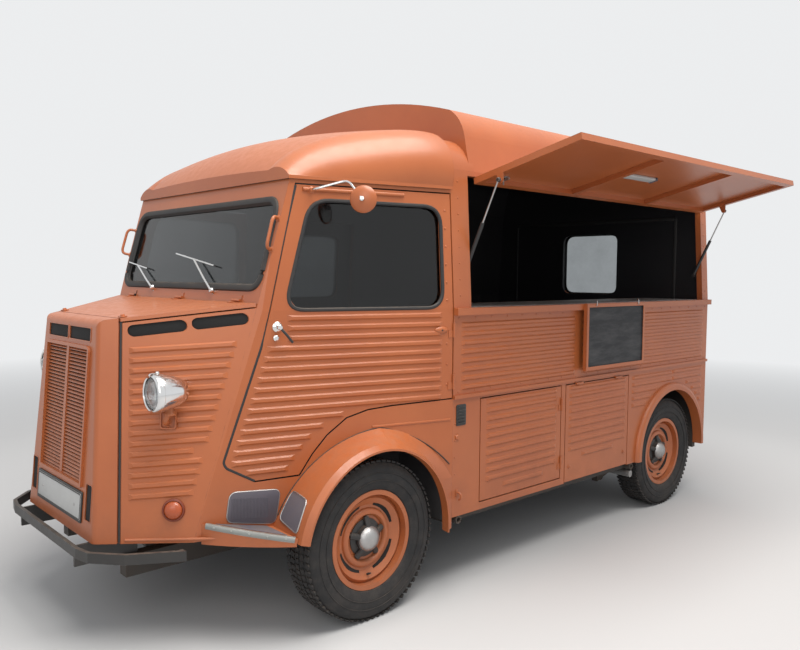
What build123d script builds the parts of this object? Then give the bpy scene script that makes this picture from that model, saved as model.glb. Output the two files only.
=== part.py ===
from build123d import *
import os
from math import atan2, cos, degrees, radians, sin, sqrt

os.makedirs("parts", exist_ok=True)

# All sizes are in millimetres. X points to the nose, Y to the left side, Z up.
# The pieces are laid out from a point on the ground under the front axle.

# Wheels and axles
wheelbase = 2530
tyre_radius = 350
tyre_width = 175
tyre_shoulder = 25
rim_radius = 203
rim_flange_radius = 217
rim_width = 132
rim_wall = 7
front_wheel_inset = 95
rear_wheel_inset = 115
kingpin_inset = 60
kingpin_radius = 17
drum_radius = 128
drum_depth = 20
hub_cap_radius = 62
hub_cap_reach = 34
steering_limit = 28
running_gap = 0.3
moving_gap = 6

# Load body: side walls, floor and roof
body_half_width = 930
body_front_x = -465
rear_overhang = 470
wall = 40
sill_z = 355
waist_z = 1344
eaves_z = 1985
eaves_lean = 38
floor_top_z = 345
floor_thickness = 25
roof_crown_z = 2405
roof_crease_z = 2155
roof_crease_inset = 74
roof_shoulder_z = 2292
roof_shoulder_inset = 175
neck_length = 135
roof_skin = 30
moulding_z = 925
moulding_height = 16
moulding_reach = 12
rail_section = 60
rail_y = 330
rail_foot_z = 250
rail_top_z = 338
rail_front_x = 860

# Cab: the door planes draw in towards the nose, the windscreen leans back
cab_taper = 0.26
cab_top_z = 1900
cab_wall = 40
windscreen_foot_x = 416
windscreen_foot_z = 1435
windscreen_rake = 0.28
windscreen_height = 385
screen_pillar_top = 43
screen_pillar_foot = 34
windscreen_corner = 55
glass_thickness = 6
cab_roof_skin = 22
gutter_reach = 14
gutter_drop = 12
cab_floor_thickness = 22
wheel_box_z = 738
footwell_z = 590
footwell_x = 392
inner_wing_inset = 355
tunnel_half_width = 300
tunnel_top_z = 1000
tunnel_rear_x = -300

# Nose: a faceted snout with a bonnet on top
nose_corner_x = 870
nose_corner_inset = 579
nose_top_z = 1312
nose_bottom_z = 430
nose_normal = (0.6146, 0.7790, 0.1243)
nose_wall = 20
bonnet_slope = 0.146
bonnet_thickness = 14
nose_gap = 12
shell_gap_slope = 0.0688
shell_front_x = 938
shell_front_z = 1272
shell_rake = 0.079
shell_wall = 18
shell_corner = 34

# Serving side
front_post = 119
rear_post = 80
opening_top_z = 1962
rail_z = 1309
rail_height = 33
rail_reach = 27
counter_depth = 400
hatch_thickness = 30
hatch_open_angle = 13
hatch_border = 36
hatch_skin = 6
strut_room = 32
strut_radius = 9
strut_rod_radius = 4
strut_foot_z = 1504
strut_foot_inset = 62
strut_lever = 159
strut_drop = 66
strut_tube_length = 260
strut_rod_length = 262
strut_blind = 24

# Hinges
knuckle_radius = 6
knuckle_length = 34
leaf_width = 26
leaf_thickness = 3

# Grille
grille_half_width = 250
grille_foot_z = 626
grille_top_z = 1196
grille_frame = 14
grille_corner = 28
grille_reach = 10
grille_depth = 26
grille_mullion = 26
slat_count = 36
slat_depth = 16
slat_drop = 13
slat_thickness = 3

# Wheel arches
front_arch_x = -12
front_arch_radius = 395
rear_arch_radius = 392
rear_arch_z = 372
front_flare_width = 26
front_lip_width = 9
rear_flare_width = 46
flare_reach = 26
wheel_box_inset = 318
wing_reach = 8
wing_wall = 12
wing_foot_z = 305
wing_front_z = 430

# Pressed ribs of the panels
rib_width = 28
rib_height = 7
rib_crest = 12
rib_run_out = 22

# Derived places
lean_slope = eaves_lean / (eaves_z - waist_z)
hub_z = tyre_radius
rear_axle_x = -wheelbase
front_wheel_y = body_half_width - front_wheel_inset
rear_wheel_y = body_half_width - rear_wheel_inset
kingpin_y = front_wheel_y - kingpin_inset
body_rear_x = rear_axle_x - rear_overhang
roof_front_x = body_front_x - neck_length
roof_crease_y = body_half_width - roof_crease_inset
roof_shoulder_y = body_half_width - roof_shoulder_inset
opening_front_x = body_front_x - front_post
opening_rear_x = body_rear_x + rear_post
wheel_box_y = body_half_width - wheel_box_inset
inner_wing_y = body_half_width - inner_wing_inset
nose_corner_y = body_half_width - nose_corner_inset
strut_foot_y = body_half_width - strut_foot_inset
wing_y = body_half_width + wing_reach
counter_top_z = rail_z + rail_height
cut_inner = body_half_width - 230
cut_outer = body_half_width + 170
inner_y = body_half_width - wall


def block(x0, x1, y0, y1, z0, z1):
    """A box between two opposite corners."""
    size = Box(x1 - x0, y1 - y0, z1 - z0, align=(Align.MIN, Align.MIN, Align.MIN))
    return Pos(x0, y0, z0) * size


def prism_xz(points, y0, y1):
    """A side-view outline drawn out across the vehicle."""
    face = make_face(Polyline(*[(x, y0, z) for x, z in points], close=True))
    return extrude(face, amount=y1 - y0, dir=(0, 1, 0))


def prism_xy(points, z0, z1):
    """A plan outline drawn upwards."""
    face = make_face(Polyline(*[(x, y, z0) for x, y in points], close=True))
    return extrude(face, amount=z1 - z0, dir=(0, 0, 1))


def prism_yz(points, x0, x1):
    """An end-view outline drawn out along the vehicle."""
    face = make_face(Polyline(*[(x0, y, z) for y, z in points], close=True))
    return extrude(face, amount=x1 - x0, dir=(1, 0, 0))


def rod(start, end, radius):
    """A round bar between two points."""
    start = Vector(*start)
    along = Vector(*end) - start
    bar = Cylinder(radius, along.length, align=(Align.CENTER, Align.CENTER, Align.MIN))
    return Plane(origin=start, z_dir=along).location * bar


def disc_y(x, z, radius, y0, y1):
    """A round disc across the vehicle, between two places."""
    return rod((x, y0, z), (x, y1, z), radius)


def beyond(point, normal, inset=0):
    """Everything on the far side of a plane that is moved inwards by the inset."""
    direction = Vector(*normal).normalized()
    origin = Vector(*point) - direction * inset
    far = Box(9000, 9000, 5000, align=(Align.CENTER, Align.CENTER, Align.MIN))
    return Plane(origin=origin, z_dir=direction).location * far


def mirrored(shape):
    """The same piece on the other side of the vehicle."""
    return mirror(shape, about=Plane.XZ)


def pair(shape):
    """A piece and its mirror image, as two solids."""
    return Compound([shape, mirrored(shape)])


def door_y(x):
    """Outer face of the cab side at the waist."""
    return body_half_width - cab_taper * (x - body_front_x)


def wall_y(z):
    """Outer face of the body side at a height."""
    return body_half_width - max(0, z - waist_z) * lean_slope


def windscreen_x(z):
    """Front face of the cab at a height."""
    return windscreen_foot_x - (z - windscreen_foot_z) * windscreen_rake


def bonnet_z(x):
    """Top face of the bonnet."""
    return nose_top_z + (nose_corner_x - x) * bonnet_slope


def gap_x(z):
    """Joint between the front shell and the nose sides."""
    return nose_corner_x + (nose_top_z - z) * shell_gap_slope


def shell_x(z):
    """Front face of the front shell."""
    return shell_front_x + (shell_front_z - z) * shell_rake


# Planes that bound the cab and the nose: a point, and the outward normal
nose_point = (nose_corner_x, nose_corner_y, nose_top_z)
nose_plane = (nose_point, nose_normal)
side_plane = ((body_front_x, body_half_width, 0), (cab_taper, 1, 0))
upper_side_plane = ((body_front_x, body_half_width, waist_z), (cab_taper, 1, lean_slope))
windscreen_plane = ((windscreen_foot_x, 0, windscreen_foot_z), (1, 0, windscreen_rake))
bonnet_plane = (nose_point, (bonnet_slope, 0, 1))
gap_plane = (nose_point, (1, 0, shell_gap_slope))
front_plane = ((shell_front_x, 0, shell_front_z), (1, 0, shell_rake))


def both_sides(*planes):
    """The planes and their mirror images."""
    other = [((p[0], -p[1], p[2]), (n[0], -n[1], n[2])) for p, n in planes]
    return list(planes) + other


def hull(planes, x0, x1, z0, z1, inset=0):
    """A block cut back by planes."""
    body = block(x0, x1, -1200, 1200, z0, z1)
    for point, normal in planes:
        body -= beyond(point, normal, inset)
    return body


def edges_between(body, first, second):
    """The edges of a body where two planes meet."""
    found = []
    for edge in body.edges():
        ends = [edge @ 0, edge @ 1]
        distances = []
        for point, normal in (first, second):
            direction = Vector(*normal).normalized()
            distances += [abs((end - Vector(*point)).dot(direction)) for end in ends]
        if max(distances) < 0.5:
            found.append(edge)
    return found


def rounded_window(points, radius, y0, y1):
    """A side-view opening with round corners."""
    body = prism_xz(points, y0, y1)
    return fillet(body.edges().filter_by(Axis.Y), radius)


def outline_prism(points, margin, y0, y1):
    """A side-view outline, grown by a margin, drawn out across the vehicle."""
    face = make_face(Polyline(*[(x, z) for x, z in points], close=True))
    if margin:
        face = offset(face, amount=margin, kind=Kind.INTERSECTION)
    upright = Plane(origin=(0, y0, 0), x_dir=(1, 0, 0), z_dir=(0, -1, 0))
    return extrude(upright * face, amount=-(y1 - y0))


def hinge(point, along, out, moving_way, fixed_way, places, faces=(None, None), lift=knuckle_radius):
    """Knuckles and leaves of a surface hinge, at several places along its axis.

    The point lies on the surface under the axis. Returns the moving half and the fixed half.
    """
    along = Vector(*along).normalized()
    out = Vector(*out).normalized()
    halves = []
    for way, side, face in ((moving_way, -1, faces[0]), (fixed_way, 1, faces[1])):
        face = Vector(*face).normalized() if face else out
        half = []
        for place in places:
            seat = Vector(*point) + along * (place + side * running_gap / 2)
            knuckle = Cylinder(
                knuckle_radius, knuckle_length, align=(Align.CENTER, Align.CENTER, Align.MIN)
            )
            leaf = Box(
                leaf_width, knuckle_length, leaf_thickness, align=(Align.MIN, Align.CENTER, Align.MIN)
            )
            leaf = Pos(lift - knuckle_radius, 0, 0) * leaf
            axis = Plane(origin=seat + out * lift, z_dir=along * side)
            middle = seat + along * (side * knuckle_length / 2)
            flat = Plane(origin=middle, x_dir=Vector(*way), z_dir=face)
            half.append(axis.location * knuckle + flat.location * leaf)
        halves.append(half)
    return halves


def rib(start, end, normal):
    """A pressed rib between two points on a flat panel, with sloping ends and sides."""
    outwards = Vector(*normal).normalized()
    start = Vector(*start) - outwards
    along = Vector(*end) - outwards - start
    side = (rib_width - rib_crest) / 2
    wedge = Wedge(
        along.length,
        rib_height + 1,
        rib_width,
        rib_run_out,
        side,
        along.length - rib_run_out,
        rib_width - side,
        align=(Align.MIN, Align.MIN, Align.CENTER),
    )
    return Plane(origin=start, x_dir=along, z_dir=along.cross(outwards)).location * wedge


def side_ribs(spans, levels, y=body_half_width):
    """Level ribs on a flat side panel, for each span of x and each height."""
    return [rib((x0, y, z), (x1, y, z), (0, 1, 0)) for x0, x1 in spans for z in levels]


def edge_x(points, z):
    """Place along x of a falling edge, given as x and z of its corners, at a height."""
    for (x0, z0), (x1, z1) in zip(points, points[1:]):
        if z0 >= z >= z1:
            return x0 + (x1 - x0) * (z0 - z) / (z0 - z1)
    return points[-1][0]


def arch_half_width(z, radius, margin):
    """Half width of a rear wheel arch and a margin, at a height."""
    return sqrt(max(0, (radius + margin) ** 2 - (z - rear_arch_z) ** 2))


def fused(body, pieces):
    """A body with other pieces joined to it."""
    for piece in pieces:
        body += piece
    return body


# Cab door outline in side view: x and z of each corner, clockwise from the top front
door_rear_x = body_front_x + moving_gap
door_outline = [
    (262, 1866),
    (door_rear_x, 1866),
    (door_rear_x, 925),
    (-150, 915),
    (-40, 906),
    (60, 878),
    (150, 810),
    (215, 735),
    (270, 652),
    (454, 648),
    (566, 712),
    (578, 735),
    (424, 1194),
]
door_window = [(205, 1806), (-410, 1806), (-410, 1345), (330, 1345)]
door_window_corner = 70
door_skin = 16
door_hinge_places = (1000, 1241)
door_hinge_x = body_front_x + moving_gap / 2

# Seam of the front wing on the side of the cab: x and z of its ends and of a point on each arc
wing_seam = [(384, 430), (262, 642), (-94, 819), (-320, 726), (body_front_x, 549)]


def wing_ring(radius):
    """Points of a wing section round the wheel: the ends of its arcs and a point on each."""
    spots = []
    for angle in (0, 46, 98, 124, 151, 168):
        a = radians(angle)
        spots.append((front_arch_x + radius * cos(a), hub_z + radius * sin(a)))
    low = front_arch_x + sqrt(radius**2 - (wing_front_z - hub_z) ** 2)
    tail = front_arch_x - sqrt(radius**2 - (wing_foot_z - hub_z) ** 2)
    return [(low, wing_front_z)] + spots[1:] + [(tail, wing_foot_z)]


def wing_section(points, y_of):
    """A closed section through the front wing, of three arcs and a straight foot."""
    spots = [Vector(x, y_of(x), z) for x, z in points]
    arcs = [ThreePointArc(*spots[i : i + 3]) for i in (0, 2, 4)]
    return make_face(arcs + [Line(spots[6], spots[0])])


def wing_form(inset, back=0):
    """The front wing's swollen form, or its inner form when moved inwards."""
    tail = body_front_x + (0 if inset <= 0 else 5)
    seam = [(x - inset, z - inset) for x, z in wing_seam[:4]]
    seam += [(tail, wing_seam[4][1] - inset), (tail + 0.5, 430), (tail, wing_foot_z)]
    sections = [
        wing_section(seam, lambda x: door_y(x) - back),
        wing_section(wing_ring(front_arch_radius + front_flare_width - inset), lambda x: wing_y - inset),
    ]
    if inset <= 0:
        lip = wing_ring(front_arch_radius + front_lip_width - inset)
        sections.append(wing_section(lip, lambda x: body_half_width + 36))
    return loft(sections, ruled=True)


def cab_solid(inset):
    """The cab's outer form, or its inner form when moved inwards."""
    planes = both_sides(side_plane, upper_side_plane, nose_plane) + [windscreen_plane]
    return hull(planes, body_front_x, 760, nose_bottom_z, cab_top_z, inset)


def cab_skin():
    """Side and front walls of the cab, all as thick as a door."""
    return cab_solid(0) - cab_solid(cab_wall)


def cab_side(thickness):
    """The two side walls of the cab without its front."""
    planes = both_sides(side_plane, upper_side_plane)
    return cab_solid(0) - hull(planes, -900, 900, 0, 2100, thickness)


def cab_door_and_pane():
    """Left cab door and its pane, in the middle of its thickness."""
    window = rounded_window(door_window, door_window_corner, 400, 1100)
    outline = outline_prism(door_outline, 0, 400, 1100)
    core = cab_side(cab_wall) & outline & Pos(-door_skin, 0, 0) * outline
    door = (cab_side(door_skin) & outline) + core - window + cab_door_ribs()
    middle = (cab_wall - glass_thickness) / 2
    sheet = cab_solid(middle) - cab_solid(middle + glass_thickness)
    return door, sheet & window


# Cab door ribs: the first ones start behind the handle
door_rib_top = 1312
door_rib_pitch = 41.8
door_rib_count = 16
door_rib_rear = -408


def cab_door_ribs():
    """Ribs of the left cab door, which follow its front edge and the wheel arch."""
    front_edge = [(424, 1194), (578, 735), (566, 712), (454, 648)]
    arch_edge = [(body_front_x, 915), (-40, 906), (60, 878), (150, 810), (215, 735), (270, 652)]
    ribs = []
    for i in range(door_rib_count):
        z = door_rib_top - i * door_rib_pitch
        front = edge_x(front_edge, z) - 20 if i > 2 else 322
        rear = door_rib_rear if z > 915 + rib_width / 2 else edge_x(arch_edge, z) + 64
        ribs.append(rib((front, door_y(front), z), (rear, door_y(rear), z), side_plane[1]))
    return ribs


def cab_door_hinge():
    """Both halves of the left cab door's hinges."""
    return hinge(
        (door_hinge_x, door_y(door_hinge_x), 0),
        (0, 0, 1),
        (0, 1, 0),
        (1, -cab_taper, 0),
        (-1, 0, 0),
        door_hinge_places,
        faces=((cab_taper, 1, 0), None),
    )


def windscreen_shape(front, back):
    """The windscreen's outline, square to the glass, between two depths."""
    plane = Plane(
        origin=(windscreen_foot_x, 0, windscreen_foot_z),
        x_dir=(0, 1, 0),
        z_dir=(1, 0, windscreen_rake),
    )
    foot = door_y(windscreen_foot_x) - screen_pillar_foot
    top_z = windscreen_foot_z + windscreen_height * cos(atan2(windscreen_rake, 1))
    top = door_y(windscreen_x(top_z)) - (top_z - waist_z) * lean_slope - screen_pillar_top
    outline = Polyline(
        (-foot, 0), (foot, 0), (top, windscreen_height), (-top, windscreen_height), close=True
    )
    face = fillet(make_face(outline).vertices(), windscreen_corner)
    return extrude(plane.offset(back) * face, amount=front - back)


def wheel_house():
    """Space under the front wings in the sides of the cab, inside the seam with the wing."""
    start, on_front, top, on_rear, end = [(x - wing_wall, z - wing_wall) for x, z in wing_seam]
    low = nose_bottom_z - 20
    tail = body_front_x + wing_wall
    outline = [
        ThreePointArc(start, on_front, top),
        ThreePointArc(top, on_rear, (tail, end[1])),
        Polyline((tail, end[1]), (tail, low), (start[0], low), start),
    ]
    upright = Plane(origin=(0, -1100, 0), x_dir=(1, 0, 0), z_dir=(0, -1, 0))
    return extrude(upright * make_face(outline), amount=-2200)


def cab_frame_piece(skin):
    """Pillars, screen frame, cowl, firewall, roof rails and the panels under the doors."""
    door_hole = outline_prism(door_outline, moving_gap, 400, 1100) & cab_side(cab_wall + 30)
    middle = block(-900, 900, -400, 400, 0, 2000)
    frame = skin - door_hole - mirrored(door_hole) - (wheel_house() - middle)
    frame -= windscreen_shape(60, -200)
    tunnel = tunnel_half_width - cab_floor_thickness
    frame -= block(300, 800, -tunnel, tunnel, 0, tunnel_top_z - cab_floor_thickness)
    return fused(frame, bonnet_hinge()[1])


def cab_floor_piece(skin):
    """Wheel boxes that carry the seats, their front boards, and sills."""
    t = cab_floor_thickness
    top = wheel_box_z + t
    profile = [
        (body_front_x, wheel_box_z),
        (footwell_x, wheel_box_z),
        (footwell_x, footwell_z + t),
        (footwell_x + t, footwell_z + t),
        (footwell_x + t, top),
        (body_front_x, top),
    ]
    floor = prism_xz(profile, -1000, 1000) & cab_solid(cab_wall)
    inner_wing = block(body_front_x, footwell_x, inner_wing_y, inner_wing_y + 15, rail_top_z, wheel_box_z)
    inner_wing -= block(-130, 130, inner_wing_y - 75, inner_wing_y + 75, rail_top_z, hub_z + 140)
    wall_end = inner_y - 8
    rear_wall = block(body_front_x, body_front_x + t, -wall_end, wall_end, rail_top_z, wheel_box_z)
    floor = fused(floor, [inner_wing, mirrored(inner_wing), rear_wall])
    floor -= block(tunnel_rear_x, 900, -tunnel_half_width, tunnel_half_width, 0, 1200)
    sills = skin & wheel_house() & block(-900, 900, -1100, 1100, wheel_box_z, 1000)
    return floor + sills


def footwells_piece():
    """Two floor pans under the feet, each with a wall that closes it to the wheel."""
    t = cab_floor_thickness
    profile = [
        (footwell_x, nose_bottom_z),
        (footwell_x + t, nose_bottom_z),
        (footwell_x + t, footwell_z),
        (700, footwell_z),
        (700, footwell_z + t),
        (footwell_x, footwell_z + t),
    ]
    return pair(prism_xz(profile, tunnel_half_width, 1000) & cab_solid(cab_wall))


def engine_cover_piece():
    """Cover over the engine between the footwells."""
    t = cab_floor_thickness
    half = tunnel_half_width
    cover = block(tunnel_rear_x, 700, -half, half, nose_bottom_z, tunnel_top_z) & cab_solid(cab_wall)
    return cover - block(tunnel_rear_x + t, 900, t - half, half - t, 0, tunnel_top_z - t)


# Sections of the cab roof: x, then the crown's rise over the cab's top, the shoulder's
# inset and rise, and the inset and rise of the bulge between shoulder and gutter
cab_roof_sections = [
    (300, 46, 152, 34, 26, 22),
    (170, 172, 156, 140, 34, 85),
    (0, 248, 150, 205, 26, 120),
    (-200, 292, 152, 248, 22, 160),
]
cab_roof_rear = (body_front_x, 312, 166, 266, 37, 192)


def cab_roof_piece():
    """Domed cab roof with its gutter, lofted through five sections."""

    def section(x, crown, shoulder_in, shoulder_rise, bulge_in, bulge_rise, inset):
        edge = door_y(x) - (cab_top_z - waist_z) * lean_slope + gutter_reach - inset
        low = cab_top_z - gutter_drop - inset
        lip = cab_top_z + 2
        side = edge + inset / 2 - shoulder_in
        bulge = edge - bulge_in
        bulge_z = cab_top_z + bulge_rise - inset / 2
        high = cab_top_z + shoulder_rise - inset
        outline = [
            Line((x, -edge, low), (x, edge, low)),
            Line((x, edge, low), (x, edge, lip)),
            ThreePointArc((x, edge, lip), (x, bulge, bulge_z), (x, side, high)),
            ThreePointArc((x, side, high), (x, 0, cab_top_z + crown - inset), (x, -side, high)),
            ThreePointArc((x, -side, high), (x, -bulge, bulge_z), (x, -edge, lip)),
            Line((x, -edge, lip), (x, -edge, low)),
        ]
        return make_face(outline)

    sections = list(cab_roof_sections) + [cab_roof_rear]
    outer = loft([section(*row, 0) for row in sections])
    inner = loft([section(*row, cab_roof_skin) for row in sections])
    front = cab_roof_sections[0][0] - cab_roof_skin
    inner &= block(body_front_x - 10, front, -1200, 1200, 0, 3000)
    return outer - inner - cab_solid(0)


def grille_outline():
    """The grille's opening, with round corners at the top."""
    hole = block(880, 1100, -grille_half_width, grille_half_width, grille_foot_z, grille_top_z)
    top = hole.edges().filter_by(Axis.X).group_by(Axis.Z)[-1]
    return fillet(top, grille_corner)


def nose_shell_piece():
    """Front shell of the nose with its grille opening, small vents and slots."""
    planes = both_sides(nose_plane) + [front_plane, bonnet_plane]
    outer = hull(planes, 700, 1100, nose_bottom_z, 1400)
    corners = []
    for side in both_sides(nose_plane):
        corners += edges_between(outer, side, front_plane)
    corners += edges_between(outer, bonnet_plane, front_plane)
    outer = fillet(corners, shell_corner)
    inner = hull(planes, 700, 1100, nose_bottom_z - 10, 1400, shell_wall)
    behind = block(0, 1300, -900, 900, 0, 1500) - beyond(*gap_plane)
    shell = outer - inner - behind
    # y from, y to, z from, z to of each vent and slot
    openings = [
        (9, 243, 1215, 1269),
        (-243, -9, 1215, 1269),
        (292, 352, 505, 652),
        (-352, -292, 505, 652),
    ]
    for y0, y1, z0, z1 in openings:
        shell -= block(900, 1100, y0, y1, z0, z1)
    return shell - grille_outline()


def grille_piece():
    """Raised frame, middle bar and two columns of tilted slats."""
    run = grille_top_z - grille_foot_z

    def leaning_bar(y0, y1, z0, z1, front, back):
        outline = [
            (shell_x(z0) + front, z0),
            (shell_x(z1) + front, z1),
            (shell_x(z1) - back, z1),
            (shell_x(z0) - back, z0),
        ]
        return prism_xz(outline, y0, y1)

    half = grille_half_width
    grille = leaning_bar(-half, half, grille_foot_z, grille_top_z, grille_reach, grille_depth)
    grille -= leaning_bar(
        grille_frame - half,
        half - grille_frame,
        grille_foot_z + grille_frame,
        grille_top_z - grille_frame,
        60,
        60,
    )
    grille += leaning_bar(
        -grille_mullion / 2, grille_mullion / 2, grille_foot_z, grille_top_z, 2, grille_depth
    )
    inside = run - 2 * grille_frame
    pitch = inside / slat_count
    for i in range(slat_count):
        z = grille_foot_z + grille_frame + (i + 0.5) * pitch
        x = shell_x(z)
        slat = [
            (x, z - slat_drop / 2),
            (x, z - slat_drop / 2 + slat_thickness),
            (x - slat_depth, z + slat_drop / 2 + slat_thickness),
            (x - slat_depth, z + slat_drop / 2),
        ]
        grille += prism_xz(slat, grille_frame - half - 1, half - grille_frame + 1)
    return grille & grille_outline()


nose_rib_top = 1184
nose_rib_pitch = 41.1
nose_rib_count = 15
nose_rib_rise = 0.08


def fold_x(z):
    """Fold between the nose and the cab's side."""
    nx, ny, nz = nose_normal
    full = nx * nose_corner_x + ny * nose_corner_y + nz * nose_top_z
    side = body_half_width + cab_taper * body_front_x
    return (side - (full - nz * z) / ny) / (cab_taper - nx / ny)


def nose_ribs():
    """Ribs of the left nose side, which rise a little to the rear."""
    ribs = []
    for i in range(nose_rib_count):
        z = nose_rib_top - i * nose_rib_pitch
        front = gap_x(z) - 30
        rear = fold_x(z) + (77 if i == 10 else 38)
        rear_z = z + (front - rear) * nose_rib_rise
        ribs.append(rib((front, nose_level(front, z), z), (rear, nose_level(rear, rear_z), rear_z), nose_normal))
    return ribs


def nose_side_piece():
    """Left side of the nose, from the front shell back to the fold at the cab."""
    lower_bonnet = ((nose_corner_x, 0, nose_top_z - bonnet_thickness - moving_gap), bonnet_plane[1])
    gap = ((nose_corner_x - nose_gap, 0, nose_top_z), gap_plane[1])
    outer = hull(both_sides(nose_plane), 300, 1100, nose_bottom_z, 1500)
    panel = outer - hull(both_sides(nose_plane), 250, 1150, nose_bottom_z - 50, 1550, nose_wall)
    lip = hull(both_sides(nose_plane), 300, 1100, nose_bottom_z, 1500, nose_wall / 2) & panel
    panel = (panel - beyond(*gap)) + (lip - beyond(*gap_plane))
    panel -= beyond(*lower_bonnet)
    panel -= cab_solid(0)
    panel -= beyond(*windscreen_plane, 2000) - beyond(*windscreen_plane)
    panel &= block(0, 1200, 0, 1200, 0, 2000)
    # Front and rear x of the two long vents under the bonnet
    for front, rear in ((846, 660), (646, 466)):
        vent = [
            (front, bonnet_z(front) - 32),
            (rear, bonnet_z(rear) - 32),
            (rear, bonnet_z(rear) - 80),
            (front, bonnet_z(front) - 80),
        ]
        panel -= rounded_window(vent, 22, 200, 900)
    return panel + nose_ribs()


def bonnet_piece():
    """Flat bonnet lid on the nose, hinged at the foot of the windscreen."""
    lid = hull(both_sides(nose_plane) + [bonnet_plane], 440, 1000, 1200, 1500)
    lid -= block(0, 1200, -1200, 1200, 0, 2000) - beyond(*bonnet_plane, bonnet_thickness)
    lid -= beyond((nose_corner_x - moving_gap, 0, nose_top_z), gap_plane[1])
    return fused(lid, bonnet_hinge()[0])


bonnet_hinge_lift = knuckle_radius + 2


def bonnet_hinge_seat():
    """Line where the bonnet's top face would meet the foot of the windscreen, as x and z."""
    rise = windscreen_foot_z - nose_top_z - (nose_corner_x - windscreen_foot_x) * bonnet_slope
    drop = rise / (1 - windscreen_rake * bonnet_slope)
    return windscreen_foot_x + drop * windscreen_rake, windscreen_foot_z - drop


def bonnet_hinge_out():
    """Direction from that line to the hinge's axis, half way between the two faces."""
    first = Vector(1, 0, windscreen_rake).normalized()
    second = Vector(bonnet_slope, 0, 1).normalized()
    return (first + second).normalized()


def bonnet_hinge():
    """Both halves of the bonnet's hinges."""
    x, z = bonnet_hinge_seat()
    return hinge(
        (x, 0, z),
        (0, 1, 0),
        tuple(bonnet_hinge_out()),
        (1, 0, -bonnet_slope),
        (-windscreen_rake, 0, 1),
        (-520, 0, 520),
        faces=((bonnet_slope, 0, 1), (1, 0, windscreen_rake)),
        lift=bonnet_hinge_lift,
    )


def front_wing_piece():
    """Left front wing: it swells out of the cab's side to the lip of the wheel arch."""
    wing = wing_form(0) - wing_form(wing_wall, 30)
    wing -= disc_y(front_arch_x, hub_z, front_arch_radius, 600, 1100)
    return wing - block(front_arch_x - front_arch_radius, 500, 600, 1100, 0, hub_z)


def cab_step_piece():
    """Left entry step between the nose and the front wing."""
    rear_x = wing_seam[0][0] - 20
    front_x = wing_seam[0][0] + 284
    inner = (rear_x, door_y(rear_x))
    outer = (rear_x, wing_y)
    front = (front_x, door_y(front_x))
    middle = ((rear_x + front_x) / 2 + 8, (outer[1] + front[1]) / 2 + 21)
    outline = [Line(front, inner), Line(inner, outer), ThreePointArc(outer, middle, front)]
    step = extrude(Pos(0, 0, 418) * make_face(outline), amount=120, dir=(0, 0, 1))
    step -= beyond((343, 0, 440), (-0.19, 0, 1))
    step -= wing_form(-4 * running_gap)
    wing_front_x = wing_ring(front_arch_radius + front_flare_width)[0][0]
    return step - block(0, wing_front_x + running_gap, 600, 1100, 400, wing_front_z + 2)


def arch_flare(x, z, radius, width, y0, y1, y2, foot):
    """Swollen rim of a wheel arch: it rises from the panel in a soft curve to a flat lip."""
    outer = radius + width
    lip = radius + width * 0.4
    outline = [
        Line((radius, y0, 0), (radius, y2, 0)),
        Line((radius, y2, 0), (lip, y2, 0)),
        ThreePointArc((lip, y2, 0), ((lip + outer) / 2 + 4, y2 - 5, 0), (outer, y1, 0)),
        Line((outer, y1, 0), (outer, y0, 0)),
        Line((outer, y0, 0), (radius, y0, 0)),
    ]
    ring = Pos(x, 0, z) * revolve(make_face(outline), Axis.Y)
    return ring & block(x - 900, x + 900, y0 - 5, y2 + 5, foot, z + 900)


# Panels of the load body in side view: x front, x rear, z foot, z top
flap = (rear_axle_x + 1172, rear_axle_x + 524, sill_z, 905)
locker = (body_front_x - 191, flap[0] + 36, 390, 905)


upper_ribs = [1262 - 42 * i for i in range(8)]
lower_ribs = [880 - 42.4 * i for i in range(10)]
last_rib = lower_ribs[-1] - 48
panel_seam_x = body_front_x - 1005


def arch_ribs(width, side_x):
    """Short ribs on both sides of a rear wheel arch."""
    ribs = []
    for z in lower_ribs[:6]:
        reach = arch_half_width(z, rear_arch_radius + width, 24)
        if reach < rear_axle_x * -1 + side_x - 90 and z > 690:
            ribs += side_ribs([(side_x, rear_axle_x + reach)], [z])
        ribs += side_ribs([(rear_axle_x - reach, body_rear_x + 60)], [z])
    return ribs


def side_wall(x0, x1):
    """A load body wall: upright up to the waist, then leaning inwards."""
    top = wall_y(eaves_z)
    outline = [
        (body_half_width, sill_z),
        (body_half_width, waist_z),
        (top, eaves_z),
        (top - wall, eaves_z),
        (inner_y, waist_z),
        (inner_y, sill_z),
    ]
    return prism_yz(outline, x0, x1)


def wall_panel(panel, thickness, gap=0):
    """A lid in the lower wall, smaller than its hole by a gap all round."""
    x0, x1, z0, z1 = panel
    return block(x1 + gap, x0 - gap, body_half_width - thickness, body_half_width, z0 + gap, z1 - gap)


def locker_hinge():
    """Both halves of the locker door's hinges."""
    post = (locker[1] + moving_gap / 2, body_half_width, 0)
    return hinge(post, (0, 0, 1), (0, 1, 0), (1, 0, 0), (-1, 0, 0), (480, 800))


def flap_hinge():
    """Both halves of the side flap's hinges."""
    top = (0, body_half_width, flap[3] - moving_gap / 2)
    return hinge(top, (1, 0, 0), (0, 1, 0), (0, 0, -1), (0, 0, 1), (-1880, -1480))


# The hatch turns about an axis just outside the wall, under the eaves
hatch_pivot_z = opening_top_z - moving_gap / 2
hatch_out = (0, 1, lean_slope)
hatch_swing = 90 + hatch_open_angle - degrees(atan2(lean_slope, 1))


def hatch_axis():
    """Axis that the serving hatch turns about."""
    out = Vector(*hatch_out).normalized()
    return Vector(0, wall_y(hatch_pivot_z), hatch_pivot_z) + out * knuckle_radius


def opened(shape):
    """The shape turned with the hatch from shut to fully open."""
    return shape.rotate(Axis(hatch_axis(), (1, 0, 0)), hatch_swing)


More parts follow.
